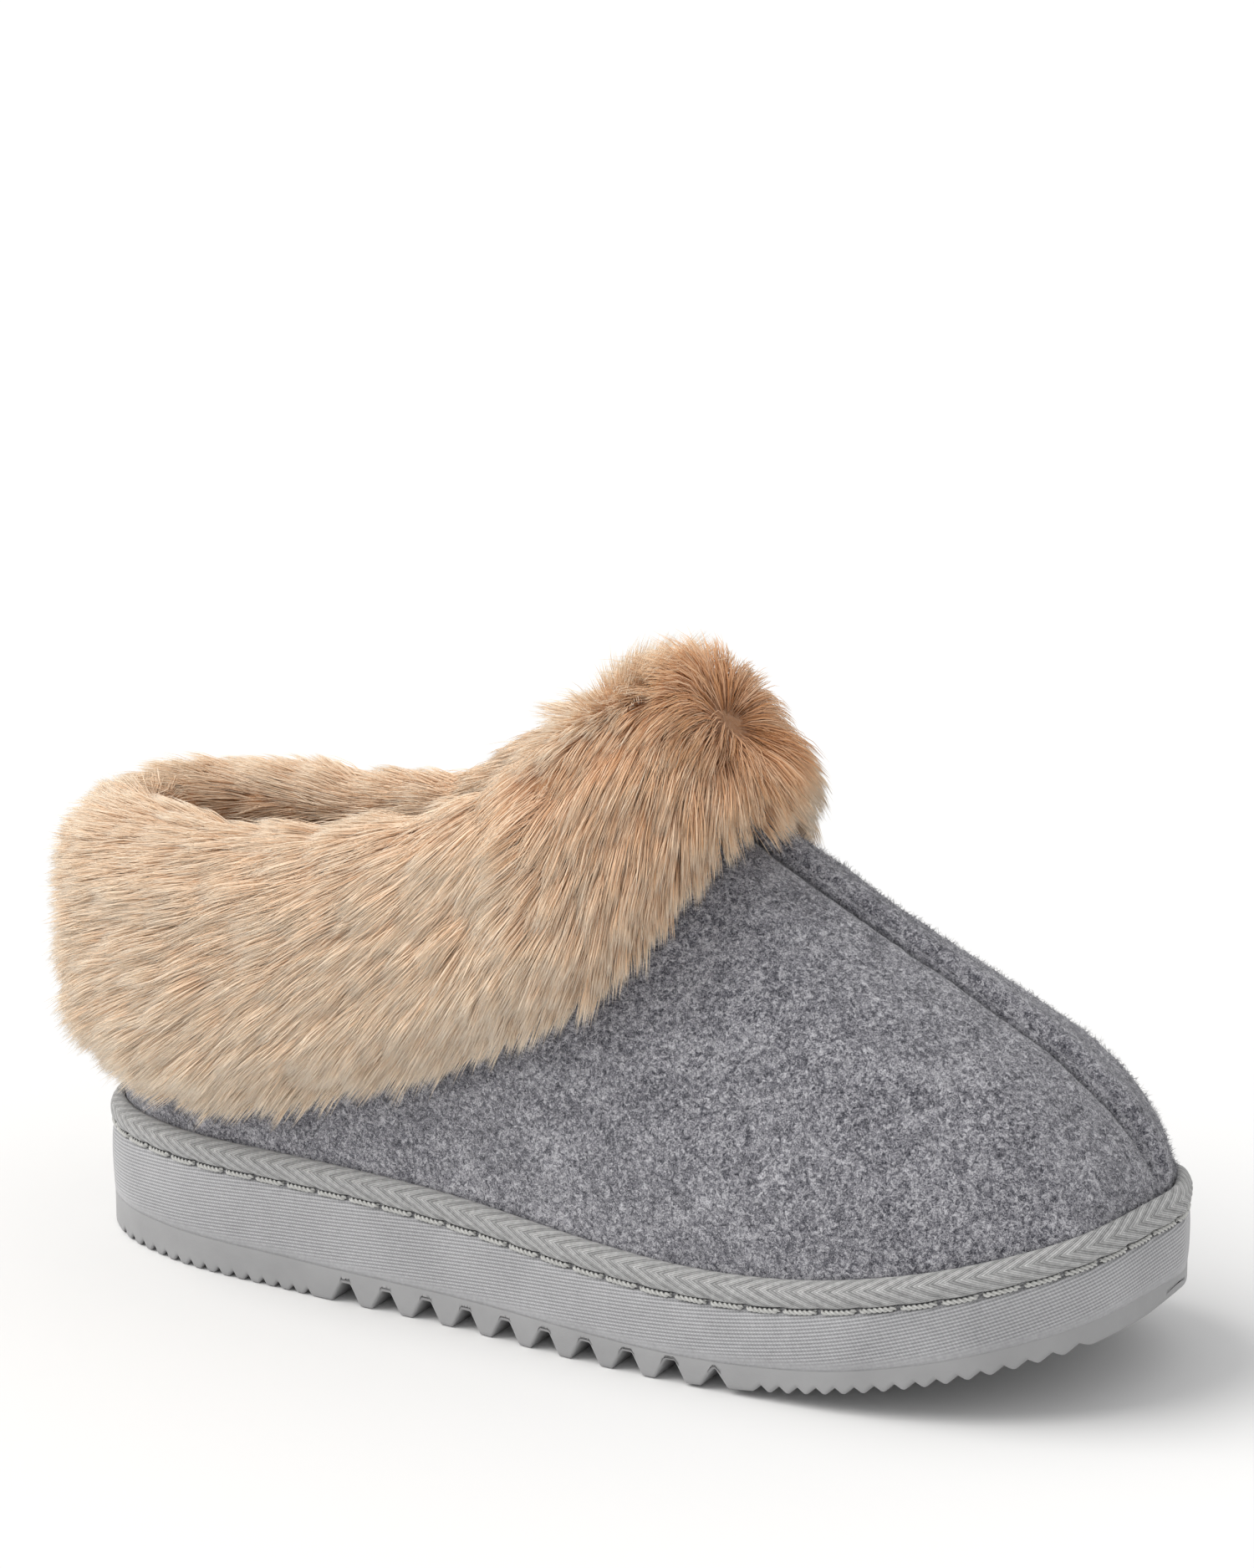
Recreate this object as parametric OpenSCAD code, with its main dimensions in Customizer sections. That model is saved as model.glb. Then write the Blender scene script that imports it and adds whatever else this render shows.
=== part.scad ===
// Closed-back house slipper for the right foot: felt upper, turned-down fur
// cuff, fabric-covered foam platform and a notched outsole.
// The origin is on the ground, in the middle of the broad tread bar in front of
// the heel. +X points to the toe, +Y to the inner side of the foot, +Z up.

/* [Sole] */
// Length of the sole, heel back to toe tip
sole_len = 266; // [240:1:290]
// Width of the sole at the ball of the foot
ball_w = 98.5; // [92:0.5:106]
// Width of the sole across the heel
heel_w = 69.5; // [64:0.5:76]
// Height of the stitch line above the ground at the heel
heel_h = 25.2; // [23:0.1:32]
// Height of the stitch line above the ground at the ball
fore_h = 18.7; // [17:0.1:24]
// Rise of the toe tip above the ground
toe_spring = 19.7; // [8:0.1:22]
// Thickness of the outsole at the heel
outsole_heel_t = 8.5; // [7.5:0.1:10]
// Thickness of the outsole at the toe
outsole_toe_t = 5.6; // [5:0.1:7]

/* [Tread] */
// Pitch of the broad bars under the waist
bar_pitch = 10.84; // [10:0.01:12]
// Depth of the notches between the broad bars
bar_depth = 4.7; // [3:0.1:5]
// Width of a broad notch at the ground
notch_open = 7.8; // [6:0.1:8.5]
// Width of a broad notch at its roof
notch_roof = 2.4; // [1.5:0.1:3]
// Pitch of the fine serration under heel and forefoot
fine_pitch = 4.25; // [4:0.01:5]
// Depth of the fine serration
fine_depth = 1.5; // [1:0.1:2]

/* [Platform cover and binding] */
// Thickness of the fabric wrapped round the platform
cover_t = 1.2; // [0.8:0.1:1.6]
// Height of the binding tape above the stitch line
binding_h = 6.6; // [5:0.1:8]
// Distance from one stitch of the binding row to the next
stitch_pitch = 8.75; // [8:0.05:10]
// Diameter of the binding thread
thread_d = 1.2; // [0.8:0.1:1.3]

/* [Upper] */
// Inset of the felt from the edge of the sole
felt_inset = 3; // [2.6:0.1:3.6]
// Thickness of the felt
felt_t = 2; // [1.6:0.1:2.1]
// Thickness of the plush lining
lining_t = 2.2; // [2:0.1:2.6]
// Height of the vamp ridge 175 mm ahead of the heel back
vamp_h = 104; // [98:0.5:110]
// Slope of the vamp ridge
vamp_slope = 0.55; // [0.5:0.01:0.6]
// Height of the upper edge of the felt at the heel
topline_h = 97; // [93:0.5:99]
// Height of the padded inner panel above the outer one at the front seam
seam_step = 2.2; // [1:0.1:3]

/* [Cuff] */
// Thickness of the fur on the outside of the cuff
pile_out = 13.5; // [11:0.5:15]
// Thickness of the fur above the rim
pile_top = 14; // [10:0.5:15]
// Thickness of the fur on the inside of the rim
pile_in = 5.5; // [4.5:0.5:7]

/* [Footbed] */
// Thickness of the insole board
board_t = 1.5; // [1.2:0.1:2]
// Thickness of the footbed foam
foam_t = 4.5; // [3:0.1:5]
// Thickness of the plush sock
sock_t = 2.2; // [1.5:0.1:2.5]

/* [Hidden] */
$fn = 24;

// The tables hold the base size; x in all functions is measured from the heel back.
base_len = 266;
base_ball_w = 98.5;
base_heel_w = 69.5;
len_scale = sole_len / base_len;
origin_x = 77.6 * len_scale;
gap = 0.12;                       // clearance between neighbouring pieces

// sides of the foot, as signs of y
outer = -1;
inner = 1;

function mix(start, end, share) = start + (end - start) * share;
function clamp01(value) = min(1, max(0, value));
function smooth(start, end, x) =
    let (share = clamp01((x - start) / (end - start))) share * share * (3 - 2 * share);

// everything is modelled from the heel back and moved to the origin once
module place() { translate([-origin_x, 0, 0]) children(); }

// ---- closed curves -----------------------------------------------------------
// smooth closed curve through points of any dimension
function tangent(points, i) =
    let (count = len(points),
         before = points[i % count] - points[(i + count - 1) % count],
         after = points[(i + 1) % count] - points[i % count],
         ratio = norm(after) / norm(before))
    (before * ratio + after / ratio) / (norm(before) + norm(after));
function curve_at(points, i, t) =
    let (next = (i + 1) % len(points), chord = norm(points[next] - points[i]))
    points[i] * (2 * t * t * t - 3 * t * t + 1)
    + tangent(points, i) * (chord * (t * t * t - 2 * t * t + t))
    + points[next] * (3 * t * t - 2 * t * t * t)
    + tangent(points, next) * (chord * (t * t * t - t * t));
curve_steps = 4;                  // pieces between two given points
function closed_curve(points) =
    [for (i = [0:len(points) - 1]) for (k = [0:curve_steps - 1])
        curve_at(points, i, k / curve_steps)];

// ---- plan outline of the sole ------------------------------------------------
// [x, outer breadth, inner breadth] at base size
breadths = [[4, 16.9, 16.6], [14, 27.3, 27], [30, 35, 34.5], [70, 40.7, 36.5],
            [110, 43.1, 38], [150, 48.3, 43], [185, 50, 48.2],
            [215, 48.5, 48.3], [240, 40.6, 41.8], [257, 27.7, 26.2], [264, 8.2, 10.2]];
toe_y = 2.2;                      // shift of the toe tip to the inner side
last = len(breadths) - 1;
function width_scale(x) =
    mix(heel_w / base_heel_w, ball_w / base_ball_w, smooth(70, 160, x));
function outline_point(row, side) =
    [row[0] * len_scale, side * row[side == outer ? 1 : 2] * width_scale(row[0])];

// runs from the heel back along the outer side to the toe and back along the inner
edge = closed_curve(concat([[0, 0]], [for (row = breadths) outline_point(row, outer)],
    [[sole_len, toe_y]], [for (i = [last:-1:0]) outline_point(breadths[i], inner)]));
edge_n = len(edge);
toe_i = (len(breadths) + 1) * curve_steps;    // index of the toe tip in edge

function inward(i) =
    let (chord = edge[(i + 1) % edge_n] - edge[(i + edge_n - 1) % edge_n],
         along = chord / norm(chord))
    [-along[1], along[0]];
function inset(distance) = [for (i = [0:edge_n - 1]) edge[i] + distance * inward(i)];

// ---- heights along the slipper -----------------------------------------------
spring_start = 155.3;             // at base size
waist_thinning = 0.8;             // outsole thickness lost from heel to waist
function spring(x) = toe_spring
    * pow(max(0, x / len_scale - spring_start) / (base_len - spring_start), 2.1);
function stitch_z(x) =
    mix(heel_h, fore_h, smooth(70.7, 198.7, x / len_scale)) + 0.944 * spring(x);
function outsole_z(x) = outsole_heel_t - waist_thinning * smooth(40, 120, x / len_scale)
    - (outsole_heel_t - waist_thinning - outsole_toe_t) * smooth(120, 220, x / len_scale)
    + spring(x);
function board_z(x) = stitch_z(x) - board_t / 2;
function bed_z(x) = stitch_z(x) + board_t / 2 + gap;

// lengthwise stations of the side profiles, running past both ends of the sole
station_n = 38;
station_over = 6;
stations = [for (i = [0:station_n])
    -station_over + (sole_len + 2 * station_over) * i / station_n];
function backward(heights) = [for (i = [station_n:-1:0]) [stations[i], heights[i]]];

// side view [x, z] drawn out across the whole width
prism_w = 140;
module side_prism(points) {
    rotate([90, 0, 0]) linear_extrude(height = prism_w, center = true) polygon(points);
}
module between(low, high) {
    side_prism(concat([for (i = [0:station_n]) [stations[i], low[i]]], backward(high)));
}

slab_h = 60;                      // taller than the whole platform
module slab(distance, height = slab_h) {
    linear_extrude(height = height) polygon(inset(distance));
}
module layer(distance, low, high) {
    intersection() {
        slab(distance);
        between(low, high);
    }
}

// ---- outsole -----------------------------------------------------------------
bars = 10;                        // broad notches
bar_x0 = 83.1 * len_scale;        // first broad notch
bar_step = bar_pitch * len_scale;
bar_end_x = bar_x0 + (bars - 1) * bar_step;
heel_n = floor((bar_x0 - 23.3 * len_scale) / fine_pitch);
heel_x0 = bar_x0 - 10.6 * len_scale - heel_n * fine_pitch;
fore_x0 = bar_end_x + 11.1 * len_scale;
fore_n = floor((sole_len - 7 - fore_x0) / fine_pitch);
fine_roof = 0.2;
heel_open = fine_pitch * 0.58;
fore_open = fine_pitch * 0.86;

// underside from the rounded heel to the raised toe
rise_x0 = 150 * len_scale;
underside = concat([[-1, 3.2], [0.9, 1.1], [3, 0]],
    [for (i = [0:34]) let (x = rise_x0 + (sole_len - rise_x0 - 6) * i / 34) [x, spring(x)]],
    [[sole_len - 2.4, spring(sole_len) + 0.4], [sole_len + 1, spring(sole_len) + 2.6]]);

// one notch, open towards the ground and following the toe spring
notch_below = 1.2;                // reach of the cutter below the tread
module notch(x, open, roof, depth) {
    foot = open / 2 + 0.6 * open / depth;
    translate([x, 0, spring(x)]) side_prism([[-foot, -notch_below], [foot, -notch_below],
                                             [roof / 2, depth], [-roof / 2, depth]]);
}
module outsole() color([0.66, 0.66, 0.66]) place() difference() {
    intersection() {
        slab(0);
        side_prism(concat(underside, backward([for (x = stations) outsole_z(x)])));
    }
    for (i = [0:heel_n]) notch(heel_x0 + i * fine_pitch, heel_open, fine_roof, fine_depth);
    for (i = [0:bars - 2]) notch(bar_x0 + i * bar_step, notch_open, notch_roof, bar_depth);
    // the foremost broad notch is narrower and shallower
    notch(bar_end_x, notch_open - 1, 0.6, bar_depth - 0.5);
    for (i = [0:fore_n]) notch(fore_x0 + i * fine_pitch, fore_open, fine_roof, fine_depth);
}

// ---- platform and footbed ----------------------------------------------------
cover_top = 0.8;                  // upper edge of the cover below the stitch line
board_inset = 2.2;
bed_inset = felt_inset + felt_t + lining_t + 2.1;
platform_low = [for (x = stations) outsole_z(x) + gap];
foam_low = [for (x = stations) bed_z(x)];
foam_high = [for (z = foam_low) z + foam_t];

module midsole() color([0.86, 0.86, 0.84]) place()
    layer(cover_t + gap, platform_low, [for (x = stations) board_z(x) - gap]);
module platform_cover() color([0.69, 0.69, 0.71]) place() intersection() {
    difference() {
        slab(0);
        translate([0, 0, -1]) slab(cover_t, slab_h + 2);
    }
    between(platform_low, [for (x = stations) stitch_z(x) - cover_top]);
}
module insole_board() color([0.62, 0.5, 0.36]) place()
    layer(board_inset, [for (x = stations) board_z(x)],
          [for (x = stations) board_z(x) + board_t]);
module footbed_foam() color([0.93, 0.9, 0.8]) place()
    layer(bed_inset, foam_low, foam_high);
module sock_liner() color([0.86, 0.78, 0.68]) place()
    layer(bed_inset, [for (z = foam_high) z + gap], [for (z = foam_high) z + gap + sock_t]);

// ---- surfaces from rows of points --------------------------------------------
function turned(faces, flip) = flip ? [for (f = faces) [f[2], f[1], f[0]]] : faces;

// closed ring through equal closed sections
module ring(sections, flip = false) {
    rows = len(sections);
    cols = len(sections[0]);
    faces = [for (i = [0:rows - 1]) for (j = [0:cols - 1])
        let (here = i * cols, next = ((i + 1) % rows) * cols, k = (j + 1) % cols)
        each [[here + j, here + k, next + k], [here + j, next + k, next + j]]];
    polyhedron([for (section = sections) each section], turned(faces, flip));
}

// closed sheet between two grids of points
module sheet(front, back, flip) {
    rows = len(front);
    cols = len(front[0]);
    k = rows * cols;              // first index of the back grid
    faces = concat(
        [for (i = [0:rows - 2]) for (j = [0:cols - 2]) let (p = i * cols + j, q = p + cols)
            each [[p, q, p + 1], [p + 1, q, q + 1]]],
        [for (i = [0:rows - 2]) for (j = [0:cols - 2]) let (p = k + i * cols + j, q = p + cols)
            each [[p, p + 1, q], [p + 1, q + 1, q]]],
        [for (i = [0:rows - 2]) let (p = i * cols, q = p + cols)
            each [[p, k + p, q], [q, k + p, k + q]]],
        [for (i = [0:rows - 2]) let (p = i * cols + cols - 1, q = p + cols)
            each [[p, q, k + p], [q, k + q, k + p]]],
        [for (j = [0:cols - 2]) each [[j, j + 1, k + j], [j + 1, k + j + 1, k + j]]],
        [for (j = [0:cols - 2]) let (p = (rows - 1) * cols + j)
            each [[p, k + p, p + 1], [p + 1, k + p, k + p + 1]]]);
    polyhedron(concat([for (row = front) each row], [for (row = back) each row]),
               turned(faces, flip));
}

// ---- binding tape and its thread ---------------------------------------------
// [distance inward from the edge, height above the stitch line]
binding_section = [[-0.2, 0.85], [-0.5, 2], [-0.5, 4], [0, 5.4], [0.9, binding_h - 0.3],
                   [2, binding_h], [2.8, binding_h - 0.4], [2.8, 0.85 + board_t / 2]];
module binding_tape() color([0.69, 0.7, 0.68]) place()
    ring([for (i = [0:edge_n - 1]) [for (corner = binding_section)
        let (plan = edge[i] + inward(i) * corner[0])
        [plan[0], plan[1], stitch_z(edge[i][0]) + corner[1]]]]);

// thread row in the groove between binding and platform cover
path_len = [for (i = 0, sum = 0; i <= edge_n;
                 sum = sum + norm(edge[(i + 1) % edge_n] - edge[i % edge_n]), i = i + 1) sum];
total_len = path_len[edge_n];
stitch_n = round(total_len / stitch_pitch);
stitch_half = stitch_pitch * 0.4;
thread_inset = 0.25;
thread_lift = 0.02;
function thread_point(distance) =
    let (i = max([for (k = [0:edge_n - 1]) if (path_len[k] <= distance) k]),
         share = (distance - path_len[i]) / (path_len[i + 1] - path_len[i]),
         plan = mix(edge[i], edge[(i + 1) % edge_n], share) + inward(i) * thread_inset)
    [plan[0], plan[1], stitch_z(plan[0]) + thread_lift];
module stitch(start, end) {
    run = end - start;
    translate(start) rotate([0, 0, atan2(run[1], run[0])])
        rotate([0, acos(run[2] / norm(run)), 0])
            cylinder(d = thread_d, h = norm(run), $fn = 16);
}
module platform_stitches() color([0.74, 0.74, 0.73]) place()
    for (k = [0:stitch_n - 1]) let (middle = total_len * (k + 0.5) / stitch_n)
        stitch(thread_point(middle - stitch_half), thread_point(middle + stitch_half));

// ---- dome over the insole ----------------------------------------------------
// A point of the dome is found from the side, the distance x from the heel back
// and the angle up the section, 0 at the insole, 90 at the ridge. Lift raises the ridge.
felt_edge = inset(felt_inset);
outer_breadths = [for (i = [0:toe_i]) [felt_edge[i][0], -felt_edge[i][1]]];
inner_breadths = [for (i = [edge_n:-1:toe_i]) felt_edge[i % edge_n]];
x_heel = felt_inset + 0.02;
x_toe = sole_len - felt_inset - 0.02;
seam_half = 0.07;                 // half the gap between the two sides
toe_round_len = 30;
toe_round_drop = 16;
ridge_max = 150;

function mid_y(x) = toe_y * smooth(150, base_len, x / len_scale);
function ridge(x) =
    let (toe = clamp01((x - (x_toe - toe_round_len)) / toe_round_len),
         behind = max(0, 172 - x / len_scale))
    min(ridge_max, vamp_h + vamp_slope * (175 - x / len_scale) * len_scale
                   + 0.0144 * behind * behind)
    - toe_round_drop * (1 - sqrt(1 - toe * toe));
function half_breadth(side, x) =
    max(0.3, lookup(x, side < 0 ? outer_breadths : inner_breadths) - side * mid_y(x));
function dome(side, x, angle, lift) =
    let (near = min(x_toe, max(x_heel, x)), base = bed_z(near),
         half = half_breadth(side, near) * pow(max(0, cos(angle)), 0.87))
    [near, mid_y(near) + side * (half + seam_half),
     base + (ridge(near) + lift - base) * sin(angle)];
// outward normal of the dome, from short steps along and up the surface
function normal(side, x, angle, lift) =
    let (low = min(angle, 88),
         along = dome(side, min(x_toe, x + 0.4), low, lift)
                 - dome(side, max(x_heel, x - 0.4), low, lift),
         up = dome(side, x, min(89.9, angle + 2), lift)
              - dome(side, x, max(0, angle - 2), lift),
         out = cross(along, up) * -side,
         level = [out[0], 0, out[2]])
    angle > 89 ? level / norm(level) : x < x_heel + 0.1 ? [-1, 0, 0] : out / norm(out);
// point at a distance out from the dome, kept on its own side of the seam
function skin(side, x, angle, out, lift = 0) =
    let (p = dome(side, x, angle, lift) + out * normal(side, x, angle, lift),
         seam_y = mid_y(p[0]) + side * seam_half)
    [p[0], side < 0 ? min(seam_y, p[1]) : max(seam_y, p[1]), p[2]];
// angle at which the dome reaches height z
function rise(x, z, lift = 0) =
    let (base = bed_z(x)) asin(min(1, (z - base) / (ridge(x) + lift - base)));

// ---- upper, lining and stiffeners --------------------------------------------
// upper edge of the felt from the side: [x at base size, z]
top_line = [[-20, topline_h], [20, topline_h - 0.5], [52, topline_h - 1.5],
            [82, topline_h + 3], [107, topline_h + 12.5], [122, topline_h + 21],
            [134, topline_h + 29], [143, topline_h + 37], [150, 160]];
function top_z(x) = lookup(x / len_scale, top_line);

// depths of the layers below the outside of the felt
stiff_a = felt_t + 0.25;
stiff_b = stiff_a + 0.6;
tape_b = stiff_a + 0.5;
line_a = stiff_b + 0.25;
line_b = line_a + lining_t;
lining_drop = 2.5;                // lining edge below the felt edge

// stations along the dome, closer together at heel and toe
ways = [for (i = [0:44]) mix(x_heel, x_toe, (1 - cos(180 * i / 44)) / 2)];

// sheet between two depths below the dome, through rows of [side, x, angle]
function at_depth(rows, depth, lift) =
    [for (row = rows) [for (p = row) skin(p[0], p[1], p[2], -depth, lift)]];
module dome_sheet(rows, depth_a, depth_b, lift = 0, flip = false) {
    sheet(at_depth(rows, depth_a, lift), at_depth(rows, depth_b, lift), flip);
}

// half of the upper, from the insole to the foot opening or the front seam
module half_shell(side, depth_a, depth_b, lift, drop = 0) {
    dome_sheet([for (x = ways) [for (j = [0:12])
                   [side, x, rise(x, top_z(x) - drop, lift) * j / 12]]],
               depth_a, depth_b, lift, side < 0);
}
module upper_outer_side() color([0.55, 0.55, 0.58]) place()
    half_shell(outer, 0, felt_t, 0);
module upper_inner_side() color([0.55, 0.55, 0.58]) place()
    half_shell(inner, 0, felt_t, seam_step);
module lining_outer_side() color([0.86, 0.78, 0.68]) place()
    half_shell(outer, line_a, line_b, 0, lining_drop);
module lining_inner_side() color([0.86, 0.78, 0.68]) place()
    half_shell(inner, line_a, line_b, 0, lining_drop);

// rows round the heel from a list of [side, x, lowest angle, highest angle]
function heel_rows(path, steps) =
    [for (p = path) [for (j = [0:steps]) [p[0], p[1], mix(p[2], p[3], j / steps)]]];

counter_xs = [for (x = ways) if (x < 69 * len_scale) x];
counter_last = len(counter_xs) - 1;
function counter_way(side, x) = [side, x, 3, rise(x, 75 - 26 * smooth(20, 66, x))];
module heel_counter() color([0.8, 0.78, 0.72]) place()
    dome_sheet(heel_rows(concat(
        [for (i = [counter_last:-1:0]) counter_way(outer, counter_xs[i])],
        [for (i = [1:counter_last]) counter_way(inner, counter_xs[i])]), 5),
        stiff_a, stiff_b);

// [side, distance ahead of x_heel]
back_tape_path = [[outer, 0.72], [outer, 0.27], [outer, 0.045],
                  [inner, 0.045], [inner, 0.27], [inner, 0.72]];
module back_seam_tape() color([0.5, 0.5, 0.52]) place()
    dome_sheet(heel_rows([for (p = back_tape_path)
        [p[0], x_heel + p[1], rise(x_heel, 77), rise(x_heel, topline_h - 2)]], 4),
        stiff_a, tape_b);

// rows across the ridge, reaching the same angle down both sides
function ridge_rows(xs, steps, reach) =
    [for (x = xs) [for (j = [-steps:steps])
        [j < 0 ? outer : inner, x, 90 - reach * abs(j) / steps]]];
puff_xs = [for (x = ways) if (x > 228 * len_scale && x < x_toe - 0.4) x];
module toe_puff() color([0.8, 0.78, 0.72]) place()
    dome_sheet(ridge_rows(puff_xs, 8, 86), stiff_a, stiff_b, flip = true);
tape_xs = [for (x = ways) if (x > 146 * len_scale && x < 226 * len_scale) x];
module front_seam_tape() color([0.5, 0.5, 0.52]) place()
    dome_sheet(ridge_rows(tape_xs, 2, 10), stiff_a, tape_b, flip = true);

// ---- cuff --------------------------------------------------------------------
// [rim x, lower edge x, lower edge z], x at base size, heel to throat
cuff_rows = [[3.1, 3.1, 46], [5.5, 5, 46], [13, 12, 45], [29, 28, 44.5], [52, 56, 46],
             [82, 88, 56], [107, 115, 66], [127, 140, 81], [138, 158, 95], [143, 170, 110]];
cuff_path = closed_curve(concat(cuff_rows,
    [for (i = [len(cuff_rows) - 2:-1:1]) cuff_rows[i]]));
cuff_n = len(cuff_path);
throat_i = cuff_n / 2;

// point of the wall at station i, share 0 at the rim, 1 at the lower edge of the cuff
function wall(i, share, out, lift) =
    let (p = cuff_path[i],
         rim_x = max(x_heel, p[0] * len_scale),
         low_x = max(x_heel, p[1] * len_scale),
         rim_angle = rise(rim_x, top_z(rim_x), lift),
         low_angle = i == throat_i ? 90 : rise(low_x, p[2], lift))
    skin(i <= throat_i ? outer : inner, mix(rim_x, low_x, share),
         mix(rim_angle, low_angle, share), out, lift);
// direction in which the fur stands above the rim
function rim_up(i) =
    let (run = wall(i, 0, 0, seam_step) - wall(i, 0.08, 0, seam_step),
         up = run / norm(run) + [0, 0, 0.8])
    up / norm(up);

back_a = 1.2;                     // distances of the backing out from the felt
back_b = back_a + 0.8;
fur_a = back_b + 0.4;             // outer fur starts here
fur_in = line_b + 1.3;            // depth at which the inner fur starts
upper_shares = [0.82, 0.64, 0.46, 0.28, 0.12];
back_shares = concat([0.98], upper_shares);

// cuff sections: [share of the way down, distance out, lift, distance above the rim]
back_section = concat([for (share = back_shares) [share, back_a, seam_step, 0]],
    [for (k = [len(back_shares) - 1:-1:0]) [back_shares[k], back_b, seam_step, 0]]);
fur_section = concat(
    [for (share = concat([1], upper_shares)) [share, fur_a, seam_step, 0]],
    [[0.03, fur_a, seam_step, 0.4], [0, 0.4, seam_step, 2.4], [0, -line_b, 0, 2.4]],
    [for (share = [0.06, 0.2, 0.35, 0.5]) [share, -fur_in, 0, 0]],
    [[0.52, -fur_in - pile_in * 0.5, 0, 0],
     [0.3, -fur_in - pile_in * 0.9, 0, 0],
     [0.05, -fur_in - pile_in, 0, 1],
     [0, -line_b - pile_in * 0.5, 0, pile_top * 0.7],
     [0, -2, seam_step, pile_top],
     [0, pile_out * 0.6, seam_step, pile_top * 0.7],
     [0.15, pile_out, seam_step, 0],
     [0.5, pile_out, seam_step, 0],
     [0.8, pile_out * 0.9, seam_step, 0],
     [1.08, pile_out * 0.6, seam_step, 0]]);
module cuff_ring(section) {
    ring([for (i = [0:cuff_n - 1]) let (up = rim_up(i))
        [for (p = section) wall(i, p[0], p[1], p[2]) + up * p[3]]], flip = true);
}
module fur_cuff() color([0.85, 0.72, 0.58]) place() cuff_ring(fur_section);
module cuff_backing() color([0.8, 0.7, 0.58]) place() cuff_ring(back_section);

outsole();
midsole();
platform_cover();
binding_tape();
platform_stitches();
insole_board();
footbed_foam();
sock_liner();
upper_outer_side();
upper_inner_side();
front_seam_tape();
back_seam_tape();
toe_puff();
heel_counter();
lining_outer_side();
lining_inner_side();
cuff_backing();
fur_cuff();
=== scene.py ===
"""A felt shoe with a plush lining and a fur cuff, on a platform sole covered in ribbed cloth.

Shapes are worked out in millimetres, as on a last, and moved into the row frame when a mesh
is made. x runs from the back of the heel to the toe, y from the outer side (negative) to the
inner side (positive), and z up from the floor.
"""
import bpy
import math
import numpy as np
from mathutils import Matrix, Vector, kdtree


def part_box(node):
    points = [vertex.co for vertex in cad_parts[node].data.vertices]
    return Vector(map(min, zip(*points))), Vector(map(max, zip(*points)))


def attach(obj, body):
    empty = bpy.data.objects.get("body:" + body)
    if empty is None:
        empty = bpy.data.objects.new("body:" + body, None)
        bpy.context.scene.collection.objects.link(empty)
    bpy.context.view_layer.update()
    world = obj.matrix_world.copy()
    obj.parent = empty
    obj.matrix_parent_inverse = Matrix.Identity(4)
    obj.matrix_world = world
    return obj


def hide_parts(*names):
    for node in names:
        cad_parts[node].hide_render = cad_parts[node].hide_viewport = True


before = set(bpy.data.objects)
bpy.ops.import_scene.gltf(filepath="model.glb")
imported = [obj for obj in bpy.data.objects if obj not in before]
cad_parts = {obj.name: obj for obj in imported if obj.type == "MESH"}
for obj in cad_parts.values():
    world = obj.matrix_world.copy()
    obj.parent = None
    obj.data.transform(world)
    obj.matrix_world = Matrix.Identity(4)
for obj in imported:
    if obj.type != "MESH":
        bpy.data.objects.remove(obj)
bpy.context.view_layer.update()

# ------------------------------------------------------------------ driving sizes
# The last the tables below were drawn on.
LAST_LENGTH = 266.0
LAST_BREADTH = 98.9
LAST_TAPE_TOP = 43.9

sole_lo, sole_hi = (np.array(corner) * 1000 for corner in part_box("outsole"))
ORIGIN_X = -sole_lo[0]  # the frame's origin, measured from the back of the heel
LENGTH = sole_hi[0] - sole_lo[0]
scale_x = LENGTH / LAST_LENGTH
scale_y = (sole_hi[1] - sole_lo[1]) / LAST_BREADTH
scale_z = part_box("binding_tape")[1][2] * 1000 / LAST_TAPE_TOP

OUTER, INNER = -1, 1
SIDE_NAME = {OUTER: "outer", INNER: "inner"}

TOE_Y = 2.2          # the tip of the toe lies a little to the inner side
SPRING_START = 155.3  # last x where the sole begins to rise to the toe
FELT_INSET = 3.0     # foot of the felt, in from the sole's edge
FELT_TOE_X = LENGTH - FELT_INSET - 0.02
SEAM_LIFT = 2.2      # the inner half of the felt stands this far above the outer half
THROAT_X = 143       # last x of the front end of the opening
STITCH_LENGTH = 8.75  # wanted length; it is fitted to the perimeter
COVER_RIB = 0.8      # spacing of the cover cloth's ribs
COVER_CLIMB = 0.09   # how steeply those ribs climb along the edge
TAPE_MIDDLE = 4.4    # distance over the tape where its ribs turn over
TAPE_SLANT = 2.2
TAPE_BOLD_RIB = 4.4
TAPE_FINE_RIB = 1.1
FOAM_THICK = 4.5
SOCK_THICK = 2.2
CROWN = np.array([168.5, 0.0, 143.0])     # where the pile parts on the crown of the cuff
FOOT_CENTRE = np.array([90.0, 0.0, 60.0])

# last x, breadth on the outer side, breadth on the inner side
BREADTHS = [
    (4, 16.9, 16.6), (14, 27.3, 27), (30, 35, 34.5), (70, 40.7, 36.5), (110, 43.1, 38),
    (150, 48.3, 43), (185, 50, 48.2), (215, 48.5, 48.3), (240, 40.6, 41.8),
    (257, 27.7, 26.2), (264, 8.2, 10.2),
]

# rim of the felt round the opening: last x, height
TOP_LINE = np.array([
    (-20, 97), (20, 96.5), (52, 95.5), (82, 100), (107, 109.5), (122, 118), (134, 126),
    (THROAT_X, 134), (150, 160),
])

# cuff from heel to throat: last x at the rim, last x at the lower edge, height of the lower edge
CUFF_ROWS = np.array([
    (3.0, 3.0, 46), (5.5, 5.0, 46), (13, 12, 45), (29, 28, 44.5), (52, 56, 46), (82, 88, 56),
    (107, 115, 66), (127, 140, 81), (138, 158, 95), (THROAT_X, 170, 110),
])
cuff_rim_x = CUFF_ROWS[:, 0] * scale_x
cuff_edge_x = CUFF_ROWS[:, 1] * scale_x
cuff_edge_z = CUFF_ROWS[:, 2]


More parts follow.
